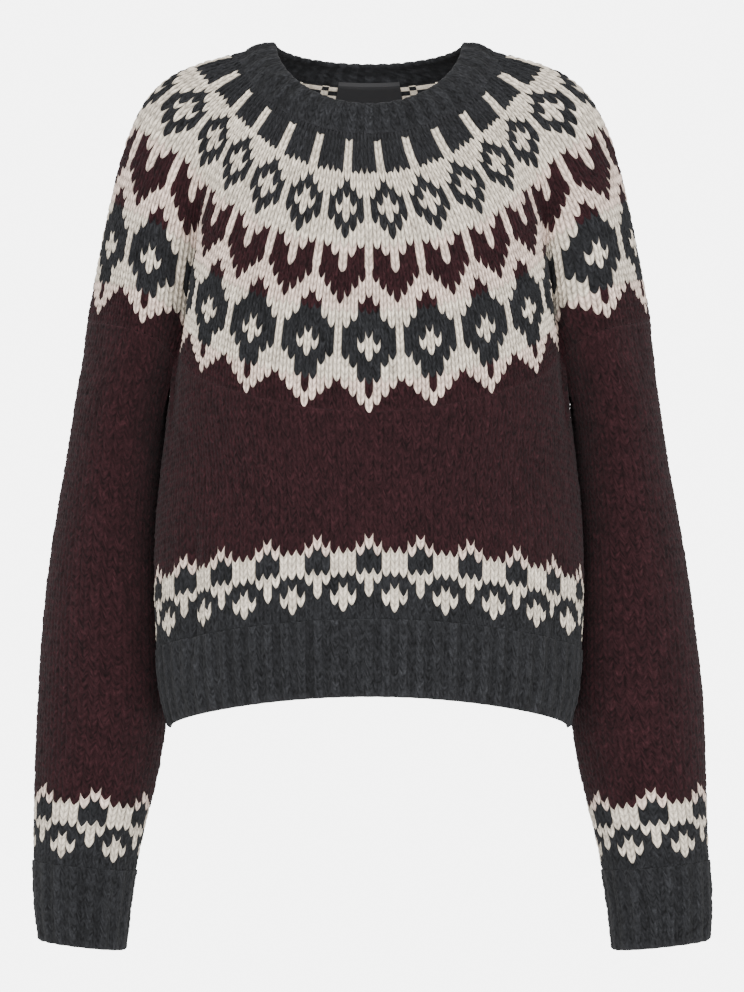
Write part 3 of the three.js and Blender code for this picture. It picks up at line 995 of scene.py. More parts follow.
@dataclass
class Knit:
    """A knitted wall laid over a surface, round by round.

    surface gives the outside at columns and rounds, and top and bottom the round at which
    the wall is cut on each column. tips are the lines' rounds in the middle of a stitch,
    where each round has its lowest point; across is the place in the stitch, from -0.5 to
    0.5, and the lines rise by chevron rounds from the middle to the borders. colour and
    inside_colour hold, for each face outside and inside, the colour of the yarn that
    shows. crest is how far each column stands out. A rounded edge draws in like half a
    tube, and a lapped foot thins out inside.
    """

    name: str
    surface: Surface
    column: Array
    across: Array
    tips: Array
    top: Array
    bottom: Array
    colour: Array
    inside_colour: Array
    relief: Relief
    pitch: float
    seed: int
    crest: Array | float = 0.0
    wall: float = WALL
    chevron: float | Array = 1.0
    closed: bool = True
    turned: bool = False
    round_top: bool = False
    round_bottom: bool = False
    lapped: bool = False

    def _normals(self, column: Array, top: Array, bottom: Array) -> Array:
        """Outward directions on even lines between the two cuts.

        Args:
            column: the columns.
            top: their upper cuts, in rounds.
            bottom: their lower cuts, in rounds.

        Returns:
            Unit vectors, shape (NORMAL_LINES + 1, columns, 3).
        """
        share = np.linspace(0, 1, NORMAL_LINES + 1)[:, None]
        grid = self.surface(column, top + (bottom - top) * share)
        normal = unit_normals(grid, self.closed)
        return -normal if self.turned else normal

    def _laid(self, skip: int, line: Array, height: Array) -> Array:
        """Points at a height over the surface on every skip-th column.

        Args:
            skip: how many columns to step by.
            line: the points' rounds, shape (lines, columns).
            height: their heights, of the same shape.

        Returns:
            Points, shape (lines, columns, 3), each raised along a direction that is read
            between two of the even lines.
        """
        column, top, bottom = (x[::skip] for x in (self.column, self.top, self.bottom))
        normal = self._normals(column, top, bottom)
        at = np.clip((line - top) / (bottom - top), 0, 1) * NORMAL_LINES
        i = np.minimum(at.astype(int), NORMAL_LINES - 1)
        part = (at - i)[..., None]
        k = np.arange(len(column))[None]
        mixed = normal[i, k] * (1 - part) + normal[i + 1, k] * part
        mixed /= np.linalg.norm(mixed, axis=-1, keepdims=True)
        return self.surface(column, line) + mixed * height[..., None]

    def _thinned(self, line: Array, skip: int) -> Array:
        """How far each side draws in towards the middle of the wall near a rounded edge.

        Args:
            line: the points' rounds.
            skip: how many columns to step by.

        Returns:
            Distances, of the same shape as line.
        """
        radius = self.wall / 2
        drawn = np.zeros(line.shape)
        for wanted, edge, sign in (
            (self.round_top, self.top[::skip], 1),
            (self.round_bottom, self.bottom[::skip], -1),
        ):
            if wanted:
                away = np.clip((line - edge) * sign * self.pitch / radius, 0, 1)
                drawn += radius * (1 - np.sqrt(1 - (1 - away) ** 2))
        return drawn

    def _calm(self, line: Array, cut: float) -> Array:
        """How much of the relief is left near an edge.

        Args:
            line: rounds of the points.
            cut: rounds over which it fades at a cut edge, or 0 to leave it there.

        Returns:
            Shares, of the same shape as line.
        """
        calm = np.ones(line.shape)
        for away, rounded in (
            (line - self.top, self.round_top), (self.bottom - line, self.round_bottom)
        ):
            if rounded or cut:
                calm *= np.clip(away / (1 if rounded else cut), 0, 1)
        return calm

    def build(self) -> bpy.types.Object:
        """Make the wall.

        Returns:
            The object.
        """
        tips = self.tips[:, None]
        relief = self.relief
        size = (len(tips), len(self.column))
        rise = self.chevron * (2 * np.abs(self.across)) ** relief.bow
        rise = rise + relief.ripple * wander(size, self.seed)
        line = np.clip(tips - rise * self._calm(tips + 0 * rise, 0), self.top, self.bottom)
        line = np.maximum.accumulate(line, axis=0)
        calm = self._calm(line, CUT_FADE)
        stand = relief.outside(self.across, tips)
        height = relief.depth * (stand - relief.level) + relief.swell * wander(size, self.seed + 1)
        height = height * calm + self.crest
        outer = self._laid(1, line, height - self._thinned(line, 1))
        # Painted shade: the crevices between the legs are darkened in the colours, fading at edges
        # like the relief.
        shade = PALETTE.shading((1 - np.clip(stand, 0, 1)) * calm, self.seed + 2)
        skip = INSIDE_SKIP
        inside = inside_lines(self.tips)[:, None]
        inside = np.clip(inside, self.top[::skip], self.bottom[::skip])
        bumps = self.relief.purl * (np.arange(len(inside)) % INSIDE_LINES == 1)[:, None]
        depth = self.wall + bumps - self._thinned(inside, skip)
        if self.lapped:
            depth = depth * np.clip(self.bottom[::skip] - inside, LAP_THICKNESS, 1)
        inner = self._laid(skip, inside, -depth)
        mesh = ClothMesh(f"{self.name}_knit", self.turned, self.closed)
        stitch = np.arange(len(self.column) + self.closed) / KNIT_COLUMNS
        within_shade = PALETTE.shading(np.zeros(inside.shape), self.seed + 3)
        out = mesh.add_side(outer, line, stitch, self.colour, shade, False)
        within = mesh.add_side(
            inner, inside, stitch[::skip], self.inside_colour, within_shade, True
        )
        mesh.add_rim(out[0], within[0], self.inside_colour[0], self.round_top, False)
        mesh.add_rim(out[-1], within[-1], self.inside_colour[-1], self.round_bottom, True)
        if not self.closed:
            mesh.add_cap(out[:, 0], within[:, 0], self.inside_colour[-1, 0], False)
            mesh.add_cap(out[:, -1], within[:, -1], self.inside_colour[-1, -1], True)
        return mesh.build()

    def smooth(self) -> Array:
        """The wall's smooth surface on a coarse grid.

        Returns:
            Points, shape (CUT_LINES, columns, 3).
        """
        skip = KNIT_COLUMNS * 2
        share = np.linspace(0, 1, CUT_LINES)[:, None]
        column, top, bottom = (x[::skip] for x in (self.column, self.top, self.bottom))
        if self.closed:
            column, top, bottom = (np.append(x, x[0]) for x in (column, top, bottom))
        return self.surface(column, top + (bottom - top) * share)


@dataclass(frozen=True)
class Palette:
    """Base colours of the yarns, as linear light, and how they vary.

    unevenness is how far a stitch is lighter or darker than the next. A crevice gets painted
    shade, darker by its share, and each point varies by its speckle, within the range of its yarn.
    """

    cream_by_burgundy: Triple = (0.79, 0.62, 0.525)
    cream_by_charcoal: Triple = (0.75, 0.66, 0.54)
    charcoal: Triple = (0.0142, 0.0146, 0.0162)
    burgundy: Triple = (0.0188, 0.0056, 0.0070)
    unevenness: float = 0.09
    # Share of painted shade in a crevice, for the dark yarns and for the light one
    crevice_shade_dark: float = 0.3
    crevice_shade_light: float = 0.72
    speckle_dark: float = 0.34
    speckle_light: float = 0.07
    crevice_shade_power: float = 1.5
    dark_range: tuple[float, float] = (0.2, 3.0)
    light_range: tuple[float, float] = (0.1, 1.15)

    def of_chart(self, chart: tuple[str, ...], letters: tuple[str, ...]) -> Array:
        """Colours of a chart, shape (rounds, places, 3); short repeats leave places empty.

        Cream takes a tint from the dark yarn that is used with it in the same round.

        Args:
            chart: the rounds, to tell which dark yarn each one uses.
            letters: the letters to colour, in the same layout.

        Returns:
            The colours.
        """
        names = {Yarn.CHARCOAL.value: self.charcoal, Yarn.BURGUNDY.value: self.burgundy}
        table = np.zeros((len(chart), REPEAT_STITCHES, 3))
        for r, (line, shown) in enumerate(zip(chart, letters)):
            with_burgundy = Yarn.BURGUNDY.value in line
            cream = self.cream_by_burgundy if with_burgundy else self.cream_by_charcoal
            for s, letter in enumerate(shown):
                table[r, s] = names.get(letter, cream)
        return table

    def uneven(self, shape: tuple[int, int], seed: int) -> Array:
        """Factors that make each stitch a little lighter or darker, shape (..., 1)."""
        random = np.random.default_rng(seed)
        return 1 + self.unevenness * random.standard_normal(shape)[..., None]

    def shading(self, hollow: Array, seed: int) -> tuple[Array, Array]:
        """Factors of dark and light yarns at points: painted shade in the hollows, and speckled.

        Args:
            hollow: how deep each point lies, 0 on the legs to 1 in the crevices.
            seed: starts the random numbers.

        Returns:
            The factors of the dark yarns and those of the light one, shaped like hollow.
        """
        speck = np.random.default_rng(seed).standard_normal(hollow.shape)
        # Painted shade: a point is darker the deeper it lies in a crevice.
        dark = 1 - self.crevice_shade_dark * hollow + self.speckle_dark * speck
        hollow = hollow**self.crevice_shade_power
        light = 1 - self.crevice_shade_light * hollow + self.speckle_light * speck
        return np.clip(dark, *self.dark_range), np.clip(light, *self.light_range)


PALETTE = Palette()


def carried(chart: tuple[str, ...]) -> tuple[str, ...]:
    """For each place of a chart, the letter of the yarn that is carried behind it.

    Args:
        chart: the rounds.

    Returns:
        Rounds in the same layout.
    """
    other = []
    for line in chart:
        cream = Yarn.CREAM.value
        dark = line.replace(cream, "")[-1:] or cream
        light = cream if cream in line else dark
        other.append("".join(dark if letter == cream else light for letter in line))
    return tuple(other)


class Half(Enum):
    """A half of the yoke or body."""

    FRONT = "front"
    BACK = "back"


class Side(Enum):
    """A side of the photograph, by its sign in X."""

    LEFT = -1
    RIGHT = 1


# How many stitches the pattern of each sleeve is turned.
SLEEVE_TURNS = {Side.LEFT: -0.4, Side.RIGHT: 0.3}


def dress(piece: bpy.types.Object, material: bpy.types.Material, node: str) -> None:
    """Give a piece its finish and the place of its node.

    Args:
        piece: the object.
        material: its material.
        node: the node it stands for.
    """
    piece.data.materials.append(material)
    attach(piece, "root")
    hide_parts(node)


def finish_piece(
    piece: bpy.types.Object, knit: Knit, material: bpy.types.Material, node: str
) -> None:
    """Dress a knitted piece and put it in the place of its node.

    Args:
        piece: the object.
        knit: the wall it was made from.
        material: its material.
        node: the node it stands for.
    """
    dress(piece, material, node)
    grid = knit.smooth()


@dataclass
class Yoke:
    """One half of the round yoke with its charted rounds.

    The halves meet on the shoulders, half_columns from the centre front.
    """

    half: Half
    columns_per_repeat: int = 48
    half_columns: int = 315
    pitch: float = 8.0
    chevron: float = 0.85
    relief: Relief = Relief()

    def _top(self, place: Array) -> Array:
        """The round at which the neckline cuts the yoke."""
        behind = eased(np.abs(round_place(place)), BACK_START_FROM, BACK_START_FULL)
        return YOKE_FIRST_TIP + BACK_START * behind

    def _share(self, place: Array, rounds: Array) -> Array:
        """Shares of the meridians at places and rounds.

        Args:
            place: places, shape (columns,).
            rounds: rounds, of a shape that goes with it.

        Returns:
            Shares, 0 at the neckline and 1 at the bottom edge.
        """
        first = YOKE_ROUNDS.at(self._top(place))["share"]
        share = (YOKE_ROUNDS.at(rounds)["share"] - first) / (1 - first)
        lift = YOKE_LIFT.at(np.abs(round_place(place)))["lift"]
        return share - lift * LIFT_BY_SHARE.at(share)["part"]

    def _surface(self, place: Array, rounds: Array) -> Array:
        """The yoke at places and rounds, with its creases pressed in towards the middle.

        Args:
            place: places, shape (columns,).
            rounds: rounds, shape (lines, columns).

        Returns:
            Points, shape (lines, columns, 3).
        """
        share = self._share(place, rounds)
        place = round_place(place)
        turned = place - RAY_LEAN.at(place, share) + SHOULDER_TURN.at(place, share)
        point = yoke_surface(turned, share)
        drawn = sum(crease.at(place, share) for crease in ARMHOLE_CREASES)
        return point - heading(turned) * drawn[..., None]

    def _bottom(self, place: Array) -> Array:
        """The round at which each meridian ends, read between two rounds near it.

        Args:
            place: places.

        Returns:
            Rounds.
        """
        low, high = YOKE_LAST_TIP, YOKE_LAST_TIP + 2
        at_low = self._share(place, np.full(place.shape, float(low)))
        at_high = self._share(place, np.full(place.shape, float(high)))
        return low + (high - low) * (1 - at_low) / (at_high - at_low)

    def _paint(self, chart: tuple[str, ...], lines: int, at: Array, shade: Array) -> Array:
        """Colours of faces.

        Args:
            chart: letters that show on this side.
            lines: lines to a round.
            at: middle of each face's column, in columns from the centre front.
            shade: unevenness by round and stitch.

        Returns:
            Colours, shape (lines, columns, 3).
        """
        table = PALETTE.of_chart(YOKE_CHART, chart)
        rounds = np.arange(len(chart) * lines) // lines
        per = np.array([len(line) for line in chart])[rounds][:, None]
        stitch = np.floor(at * per / self.columns_per_repeat + 0.5).astype(int)
        return table[rounds[:, None], stitch % per] * shade[rounds[:, None], stitch]

    def build(self, material: bpy.types.Material) -> None:
        """Make this half of the yoke.

        Args:
            material: its material.
        """
        reach = self.half_columns
        whole = 2 * HALF_ROUND * self.columns_per_repeat
        if self.half is Half.FRONT:
            columns = np.arange(-reach, reach + 1)
        else:
            columns = np.arange(reach, whole - reach + 1)
        rounds = len(YOKE_CHART)
        tips = YOKE_FIRST_ROW - 1 + np.arange(rounds * KNIT_LINES + 1) / KNIT_LINES
        teeth = np.where(tips < SIX_ABOVE, 6, REPEAT_STITCHES)
        teeth = np.where(tips < FOUR_ABOVE, 4, teeth)[:, None]
        name = f"yoke_{self.half.value}"
        shade = PALETTE.uneven((rounds, 2 * HALF_ROUND * REPEAT_STITCHES), SEEDS[name])
        place = columns / self.columns_per_repeat
        behind = columns[::INSIDE_SKIP] + INSIDE_SKIP / 2
        blunt = RAY_TOP + (1 - RAY_TOP) * eased(tips, RAY_TOP_FROM, RAY_TOP_FULL)
        knit = Knit(
            name=name,
            surface=self._surface,
            column=place,
            across=wrapped(columns * teeth / self.columns_per_repeat, 1),
            tips=tips,
            top=self._top(place),
            bottom=self._bottom(place),
            colour=self._paint(YOKE_CHART, KNIT_LINES, columns + 0.5, shade),
            inside_colour=with_floats(
                self._paint(YOKE_CHART, INSIDE_LINES, behind, shade),
                self._paint(carried(YOKE_CHART), INSIDE_LINES, behind, shade),
            ),
            relief=self.relief,
            pitch=self.pitch,
            seed=SEEDS[name],
            chevron=self.chevron * blunt[:, None],
            closed=False,
        )
        finish_piece(knit.build(), knit, material, "yoke")


@dataclass
class Tube:
    """Rounds of a body or sleeve, with the charted band over the rib.

    Rounds are numbered down to 0 at the rib, so those over it are negative. The band's
    lowest line is round 0, and the rounds over the band are plain. above and below are the
    spare rounds that are cut off at the ends, and phase turns the chart by stitches.
    """

    stitches: int
    first_stitch: float
    columns: int
    pitch: float
    phase: int
    seed: int
    chart: tuple[str, ...] = BAND_CHART
    above: int = 2
    below: int = 1

    def column_stitches(self, closed: bool) -> Array:
        """The columns' places in stitches, from the border of the first stitch."""
        count = self.columns * KNIT_COLUMNS + (0 if closed else 1)
        return self.first_stitch - 0.5 + np.arange(count) / KNIT_COLUMNS

    def tips(self, highest: float) -> Array:
        """The lines' rounds from above the highest cut to below the rib."""
        rounds = int(math.ceil(-highest)) + self.above
        return -rounds + np.arange((rounds + self.below) * KNIT_LINES + 1) / KNIT_LINES

    def paint(self, tips: Array, lines: int, at: Array, back: bool) -> Array:
        """Colours of faces.

        Cream is plumper than the dark yarns: outside, it also covers the last line of a
        dark stitch over it.

        Args:
            tips: the lines' rounds.
            lines: lines to a round.
            at: middle of each face's column, in stitches.
            back: whether to give the carried yarn instead of the stitch's own.

        Returns:
            Colours, shape (lines, columns, 3).
        """
        plain = Yarn.BURGUNDY.value * BAND_REPEAT
        letters = (plain,) + self.chart
        shown = carried(letters) if back else letters
        table = PALETTE.of_chart(letters, shown)
        rounds = np.round(tips[0]).astype(int) + 1 + np.arange(len(tips) - 1) // lines
        row = np.clip(rounds + len(self.chart) - 1, 0, len(self.chart))
        stitch = np.floor(at + 0.5).astype(int)
        shade = PALETTE.uneven((len(tips), 2 * self.stitches), self.seed)
        tint = shade[(rounds - rounds[0])[:, None], stitch % (2 * self.stitches)]
        own = table[row[:, None], (stitch + self.phase) % BAND_REPEAT]
        if lines == KNIT_LINES:
            below = np.roll(own, -1, axis=0)
            covered = below.max(axis=-1, keepdims=True) > LIGHT_YARN
            own = np.where(covered, below, own)
        return own * tint

    def knit(
        self,
        name: str,
        surface: Surface,
        top: Array,
        relief: Relief,
        closed: bool,
        turned: bool,
    ) -> Knit:
        """The tube's wall over a surface, cut at the top rounds of its columns.

        Args:
            name: name of the piece.
            surface: the outside at stitches and rounds.
            top: the round at which each column starts.
            relief: how its stitches stand out.
            closed: whether it runs all round.
            turned: whether the stitches run the other way.

        Returns:
            The wall.
        """
        column = self.column_stitches(closed)
        tips = self.tips(top.min())
        inside = inside_lines(tips)
        behind = column[::INSIDE_SKIP] + 0.5 / INSIDE_COLUMNS
        return Knit(
            name=name,
            surface=surface,
            column=column,
            across=wrapped(column, 1)[None],
            tips=tips,
            top=top,
            bottom=np.zeros(len(column)),
            colour=self.paint(tips, KNIT_LINES, column + 0.5 / KNIT_COLUMNS, False),
            inside_colour=with_floats(
                self.paint(inside, INSIDE_LINES, behind, False),
                self.paint(inside, INSIDE_LINES, behind, True),
            ),
            relief=relief,
            pitch=self.pitch,
            seed=self.seed,
            closed=closed,
            turned=turned,
        )


@dataclass
class Body:
    """The front or back of the body, from the yoke's edge to the hem rib."""

    half: Half
    pitch: float = 5.62
    relief: Relief = PLAIN_RELIEF

    def _surface(self, stitch: Array, rounds: Array) -> Array:
        """The body at stitches and rounds above the rib."""
        return body_surface(stitch, hem_z(stitch) + HEM_RIB - EDGE_LAP - rounds * self.pitch)

    def build(self, material: bpy.types.Material) -> None:
        """Make this half of the body.

        Args:
            material: its material.
        """
        front = self.half is Half.FRONT
        reach = QUARTER_STITCHES - 1 if front else QUARTER_STITCHES
        count = 2 * reach + 1
        whole = 4 * QUARTER_STITCHES
        first = -reach if front else whole // 2 - reach
        name = f"body_{self.half.value}"
        tube = Tube(whole, first, count, self.pitch, phase=0, seed=SEEDS[name])
        around = np.abs(wrapped(tube.column_stitches(False), whole))
        height = body_top(around)[:, 2] + EDGE_LAP - (hem_z(around) + HEM_RIB - EDGE_LAP)
        knit = tube.knit(name, self._surface, -height / self.pitch, self.relief, False, False)
        finish_piece(knit.build(), knit, material, name)


@dataclass
class Sleeve:
    """A sleeve, from the yoke's edge to the cuff rib, turned by some stitches."""

    side: Side
    turn: float
    phase: int = 3
    stitches: int = SLEEVE_STITCHES
    pitch: float = 5.4
    relief: Relief = PLAIN_RELIEF

    def build(self, material: bpy.types.Material) -> None:
        """Make the sleeve.

        Args:
            material: its material.
        """
        unit = SLEEVE_UNITS / self.stitches
        sign = self.side.value

        def surface(stitch: Array, rounds: Array) -> Array:
            """The sleeve at stitches and rounds above the rib.

            Args:
                stitch: stitches round it.
                rounds: rounds, negative over the rib.

            Returns:
                Points, shape (lines, columns, 3).
            """
            units = (stitch + self.turn) * unit
            foot = cuff_z(units) + CUFF_RIB - EDGE_LAP
            return sleeve_surface(units, foot - rounds * self.pitch, sign)

        name = f"sleeve_{self.side.name.lower()}"
        tube = Tube(self.stitches, 0, self.stitches, self.pitch, self.phase, SEEDS[name])
        units = ((tube.column_stitches(True) + self.turn) * unit) % SLEEVE_UNITS
        height = sleeve_top(units)[:, 2] + EDGE_LAP - (cuff_z(units) + CUFF_RIB - EDGE_LAP)
        turned = self.side is Side.LEFT
        knit = tube.knit(name, surface, -height / self.pitch, self.relief, True, turned)
        finish_piece(knit.build(), knit, material, name)


@dataclass
class Rib:
    """A ribbed band: one rib of knit stitches and one furrow of purl, turn about.

    surface takes places in stitches and shares of the band's height, 0 at its top. The
    crest is a cosine across a rib and its furrow, drawn up by crest_power. furrow is the
    painted shade by which a furrow is darker and a rib lighter, and streak how far one rib
    differs from the next.
    """

    name: str
    ribs: int
    rounds: int
    height: float
    surface: Surface
    turned: bool = False
    round_top: bool = False
    round_bottom: bool = True
    relief: Relief = RIB_RELIEF
    chevron: float = 0.8
    rise: float = RIB_RISE
    furrow: float = 0.14
    streak: float = 0.07
    crest_power: float = 0.8
    streak_seed: int = 5

    def build(self, material: bpy.types.Material) -> None:
        """Make the band.

        Args:
            material: its material.
        """
        column = np.arange(self.ribs * 2 * KNIT_COLUMNS) / KNIT_COLUMNS - 0.5
        tips = np.arange(self.rounds * KNIT_LINES + 1) / KNIT_LINES
        crest = self.rise * (0.5 + 0.5 * np.cos(np.pi * column)) ** self.crest_power
        seed = SEEDS[self.name]
        shade = PALETTE.uneven((self.rounds, 2 * self.ribs), seed)
        stitch = np.floor(column + 0.5).astype(int)
        random = np.random.default_rng(seed + self.streak_seed).standard_normal(2 * self.ribs)
        # Painted shade: the furrows darker and the ribs lighter, plus a random streak for each
        # rib.
        furrow_shade_and_streak = 1 + self.furrow * np.cos(np.pi * stitch) + self.streak * random[stitch]
        colour = np.array(PALETTE.charcoal) * shade[:, stitch] * furrow_shade_and_streak[:, None]
        knit = Knit(
            name=self.name,
            surface=lambda place, rounds: self.surface(place, rounds / self.rounds),
            column=column,
            across=wrapped(column, 1)[None],
            tips=tips,
            top=np.zeros(len(column)),
            bottom=np.full(len(column), float(self.rounds)),
            colour=np.repeat(colour, KNIT_LINES, axis=0),
            inside_colour=np.repeat(colour[:, ::INSIDE_SKIP], INSIDE_LINES, axis=0),
            relief=self.relief,
            crest=crest[None],
            pitch=self.height / self.rounds,
            seed=seed,
            wall=RIB_WALL,
            chevron=self.chevron,
            turned=self.turned,
            round_top=self.round_top,
            round_bottom=self.round_bottom,
            lapped=not self.round_bottom,
        )
        finish_piece(knit.build(), knit, material, self.name)


@dataclass
class Label:
    """The plain woven label inside the back neck.

    It reaches half_places of the yoke each way from the centre back, down to bottom of the
    meridians and up by above of the neck band, and stands off the cloth by offset.
    """

    name: str = "neck_label_tape"
    half_places: float = 1.08
    bottom: float = 0.16
    above: float = 0.12
    offset: float = 0.9
    thickness: float = 0.8
    across: int = 60
    down: int = 40

    def build(self, material: bpy.types.Material) -> None:
        """Make the label as a thin closed plate that follows the cloth behind it.

        Args:
            material: its material.
        """
        reach = self.half_places
        place = np.linspace(HALF_ROUND - reach, HALF_ROUND + reach, self.across + 1)
        share = np.linspace(-self.above * NECK_LAP_SHARE, self.bottom, self.down + 1)[:, None]
        share = share * np.ones(self.across + 1)
        band = neck_surface(place, 1 + np.minimum(share, 0) / NECK_LAP_SHARE)
        cloth = yoke_surface(place, share) + band - YOKE_NECK.at(place)
        normal = unit_normals(cloth, False)
        depth = WALL + self.offset
        sides = [cloth - normal * d for d in (depth, depth + self.thickness)]
        vertices = np.concatenate([s.reshape(-1, 3) for s in sides]) * MM
        number = np.arange(len(vertices)).reshape(2, self.down + 1, self.across + 1)
        outer, inner = number
        faces = [cells(outer), cells(inner)[:, ::-1]]
        for one, two in (
            (inner[0], outer[0]),
            (outer[-1], inner[-1]),
            (outer[:, 0], inner[:, 0]),
            (inner[:, -1], outer[:, -1]),
        ):
            faces.append(cells(np.stack((one, two))))
        mesh = bpy.data.meshes.new(self.name)
        mesh.from_pydata(vertices.tolist(), [], np.concatenate(faces).tolist())
        mesh.validate()
        piece = add_object(self.name, mesh)
        dress(piece, material, "neck_label")


def new_material(
    name: str, roughness: float, colour: tuple[float, ...] | None = None
) -> tuple[bpy.types.Material, bpy.types.ShaderNode]:
    """Make a material.

    Args:
        name: its name.
        roughness: its roughness.
        colour: its base colour, unless that comes from elsewhere.

    Returns:
        The material and its shader.
    """
    material = bpy.data.materials.new(name)
    material.use_nodes = True
    shader = material.node_tree.nodes["Principled BSDF"]
    shader.inputs["Roughness"].default_value = roughness
    if colour:
        shader.inputs["Base Color"].default_value = colour
    return material, shader


@dataclass(frozen=True)
class YarnFinish:
    """How a yarn takes light: a rough, softly brushed surface with fine uneven fibres.

    mottle is how far the fibres change the colour, at mottle_scale to a metre, and bump how
    strongly they show in relief, bump_depth metres deep.
    """

    name: str
    roughness: float = 0.92
    fuzz: float = 0.04
    fuzz_roughness: float = 0.6
    mottle: float = 0.35
    mottle_scale: float = 900.0
    bump: float = 0.5
    bump_depth: float = 0.0006
    gloss: float = 0.1

    def build(self) -> bpy.types.Material:
        """Make the material, which takes its colour from the mesh's own yarn colours.

        Returns:
            The material.
        """
        material, shader = new_material(self.name, self.roughness)
        tree = material.node_tree
        shader.inputs["Sheen Weight"].default_value = self.fuzz
        shader.inputs["Sheen Roughness"].default_value = self.fuzz_roughness
        shader.inputs["Specular IOR Level"].default_value = self.gloss
        yarn = tree.nodes.new("ShaderNodeAttribute")
        yarn.attribute_name = "yarn"
        place = tree.nodes.new("ShaderNodeTexCoord")
        group = tree.nodes.new("ShaderNodeGroup")
        group.node_tree = fibre_group()
        group.inputs["Scale"].default_value = self.mottle_scale
        group.inputs["Strength"].default_value = self.mottle
        link = tree.links.new
        link(yarn.outputs["Color"], group.inputs["Colour"])
        link(place.outputs["Object"], group.inputs["Place"])
        link(group.outputs["Colour"], shader.inputs["Base Color"])
        bump = tree.nodes.new("ShaderNodeBump")
        bump.inputs["Strength"].default_value = self.bump
        bump.inputs["Distance"].default_value = self.bump_depth
        link(group.outputs["Height"], bump.inputs["Height"])
        link(bump.outputs["Normal"], shader.inputs["Normal"])
        return material


def fibre_group() -> bpy.types.NodeTree:
    """The shared fibre effect: fine noise that mottles a colour and gives a height.

    Returns:
        The node group, made on the first call. It multiplies Colour by 1 plus Strength
        times the noise, spread out to run from -1 to 1.
    """
    found = bpy.data.node_groups.get("fibres")
    if found:
        return found
    group = bpy.data.node_groups.new("fibres", "ShaderNodeTree")
    for name, way, kind in (
        ("Colour", "INPUT", "Color"),
        ("Place", "INPUT", "Vector"),
        ("Scale", "INPUT", "Float"),
        ("Strength", "INPUT", "Float"),
        ("Colour", "OUTPUT", "Color"),
        ("Height", "OUTPUT", "Float"),
    ):
        group.interface.new_socket(name, in_out=way, socket_type=f"NodeSocket{kind}")
    entry = group.nodes.new("NodeGroupInput")
    leave = group.nodes.new("NodeGroupOutput")
    noise = group.nodes.new("ShaderNodeTexNoise")
    spread = group.nodes.new("ShaderNodeMapRange")
    for node, name, value in (
        (noise, "Detail", 4.0),
        (noise, "Roughness", 0.7),
        (spread, "From Min", 0.3),
        (spread, "From Max", 0.7),
        (spread, "To Min", -1.0),
        (spread, "To Max", 1.0),
    ):
        node.inputs[name].default_value = value
    scale = group.nodes.new("ShaderNodeMath")
    scale.operation = "MULTIPLY_ADD"
    scale.inputs[2].default_value = 1.0
    tint = group.nodes.new("ShaderNodeVectorMath")
    tint.operation = "SCALE"
    link = group.links.new
    link(entry.outputs["Place"], noise.inputs["Vector"])
    link(entry.outputs["Scale"], noise.inputs["Scale"])
    link(noise.outputs["Fac"], spread.inputs["Value"])
    link(spread.outputs["Result"], scale.inputs[0])
    link(entry.outputs["Strength"], scale.inputs[1])
    link(entry.outputs["Colour"], tint.inputs["Vector"])
    link(scale.outputs["Value"], tint.inputs["Scale"])
    link(tint.outputs["Vector"], leave.inputs["Colour"])
    link(noise.outputs["Fac"], leave.inputs["Height"])
    return group


@dataclass(frozen=True)
class TapeFinish:
    """Matt black woven tape."""

    colour: Rgba = (0.019, 0.019, 0.021, 1.0)
    roughness: float = 0.6

    def build(self) -> bpy.types.Material:
        """Make the material."""
        return new_material("label_tape", self.roughness, self.colour)[0]


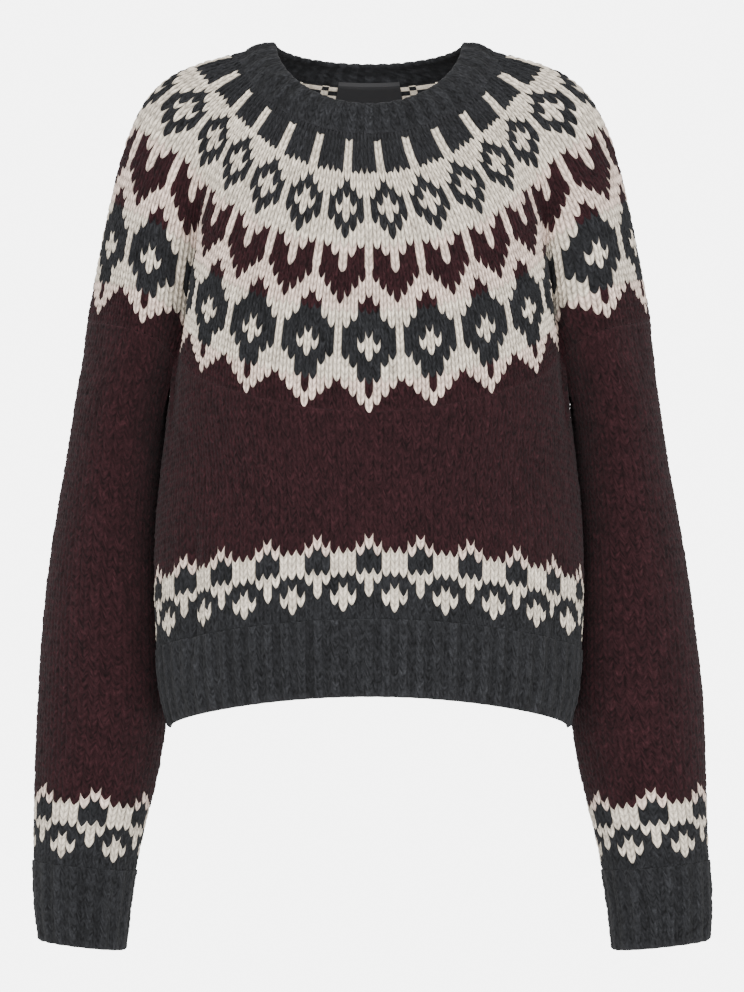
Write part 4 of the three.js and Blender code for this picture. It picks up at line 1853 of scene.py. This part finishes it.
@dataclass
class Studio:
    """A pale floor, soft light and the camera of the photograph, in metres.

    lamps are their names, places and powers. pixel is the size of one at the object.
    """

    floor_z: float = -0.95
    floor_radius: float = 2.2
    floor_sides: int = 96
    floor_colour: Rgba = (0.86, 0.86, 0.86, 1.0)
    floor_roughness: float = 0.9
    lamps: tuple[tuple[str, Triple, float], ...] = (
        ("key", (-0.9, -3.4, 1.3), 130),
        ("fill", (1.4, -3.2, 0.1), 80),
        ("back", (0.0, 2.8, 1.4), 60),
    )
    lamp_size: float = 2.4
    lamp_aim: Triple = (0.0, 0.0, -0.35)
    light: float = 1.05
    backdrop: float = 6.0
    camera_at: Triple = (0.00246, -5.0, -0.35752)
    pixel: float = 0.00082
    long_side: int = 992
    sensor: float = 36.0
    clip_end: float = 50.0

    def build(self) -> None:
        """Make floor, lights, world and camera."""
        self._floor()
        self._world()
        for name, at, power in self.lamps:
            self._lamp(name, at, power)
        self._camera()

    def _floor(self) -> None:
        """A round floor under the object."""
        mesh = bpy.data.meshes.new("floor")
        angles = np.linspace(0, 2 * np.pi, self.floor_sides, endpoint=False)
        ring = np.stack((np.cos(angles), np.sin(angles), 0 * angles), axis=-1)
        corners = ring * self.floor_radius + (0, 0, self.floor_z)
        mesh.from_pydata(corners.tolist(), [], [list(range(len(angles)))])
        floor = add_object("floor", mesh)
        mesh.materials.append(new_material("floor", self.floor_roughness, self.floor_colour)[0])

    def _world(self) -> None:
        """Even pale light all round, in front of a whiter backdrop."""
        world = bpy.data.worlds.new("studio")
        world.use_nodes = True
        tree = world.node_tree
        shown = [tree.nodes["Background"], tree.nodes.new("ShaderNodeBackground")]
        for background, strength in zip(shown, (self.light, self.backdrop)):
            background.inputs["Color"].default_value = (1, 1, 1, 1)
            background.inputs["Strength"].default_value = strength
        path = tree.nodes.new("ShaderNodeLightPath")
        mix = tree.nodes.new("ShaderNodeMixShader")
        tree.links.new(path.outputs["Is Camera Ray"], mix.inputs["Fac"])
        for number, background in enumerate(shown):
            tree.links.new(background.outputs["Background"], mix.inputs[1 + number])
        tree.links.new(mix.outputs["Shader"], tree.nodes["World Output"].inputs["Surface"])
        bpy.context.scene.world = world

    def _lamp(self, name: str, at: Triple, power: float) -> None:
        """A large soft lamp aimed at the middle of the object.

        Args:
            name: its name.
            at: its place.
            power: its power in watts.
        """
        data = bpy.data.lights.new(name, "AREA")
        data.size = self.lamp_size
        data.energy = power
        lamp = add_object(name, data)
        lamp.location = at
        aim = Vector(self.lamp_aim) - Vector(at)
        lamp.rotation_euler = aim.to_track_quat("-Z", "Y").to_euler()

    def _camera(self) -> None:
        """The camera five metres in front, level, one pixel to a fixed length there."""
        data = bpy.data.cameras.new("camera")
        data.sensor_width = self.sensor
        field = self.pixel * self.long_side
        data.lens = self.sensor * -self.camera_at[1] / field
        data.clip_end = self.clip_end
        camera = add_object("camera", data)
        camera.location = self.camera_at
        camera.rotation_euler = (math.pi / 2, 0, 0)
        bpy.context.scene.camera = camera


def build_ribs(material: bpy.types.Material) -> None:
    """Make the hem, the cuffs and the neck band.

    Args:
        material: their material.
    """

    def hem(stitch: Array, down: Array) -> Array:
        """The hem rib at stitches and shares of its height."""
        around = np.abs(wrapped(stitch, 4 * QUARTER_STITCHES))
        return body_surface(stitch, hem_z(around) + HEM_RIB * (1 - down))

    ribs = [Rib("hem_rib", ribs=2 * QUARTER_STITCHES, rounds=11, height=HEM_RIB, surface=hem)]
    for side in Side:

        def cuff(stitch: Array, down: Array, sign: int = side.value) -> Array:
            """The cuff at stitches and shares of its height."""
            unit = stitch * SLEEVE_UNITS / SLEEVE_STITCHES
            return sleeve_surface(unit, cuff_z(unit) + CUFF_RIB * (1 - down), sign)

        ribs.append(
            Rib(
                f"cuff_{side.name.lower()}",
                ribs=SLEEVE_STITCHES // 2,
                rounds=12,
                height=CUFF_RIB,
                surface=cuff,
                turned=side is Side.LEFT,
            )
        )

    def neck(stitch: Array, down: Array) -> Array:
        """The neck band at stitches from the centre front and shares of its height."""
        return neck_surface(stitch * HALF_ROUND / NECK_RIBS, down * NECK_REACH)

    ribs.append(
        Rib(
            "neck_rib",
            ribs=NECK_RIBS,
            rounds=6,
            height=NECK_HEIGHT,
            surface=neck,
            round_top=True,
            round_bottom=False,
            rise=NECK_RISE,
        )
    )
    for rib in ribs:
        rib.build(material)


def main() -> None:
    """Build the jumper piece by piece and set it in the studio."""
    logging.basicConfig(level=logging.INFO, format="%(message)s")
    names = ("yoke_knit", "body_knit", "sleeve_knit", "charcoal_rib")
    yoke, body, sleeve, rib = (YarnFinish(name).build() for name in names)
    for half in Half:
        Yoke(half).build(yoke)
        Body(half).build(body)
    for side, turn in SLEEVE_TURNS.items():
        Sleeve(side, turn).build(sleeve)
    build_ribs(rib)
    Label().build(TapeFinish().build())
    Studio().build()


if __name__ == "__main__":
    main()
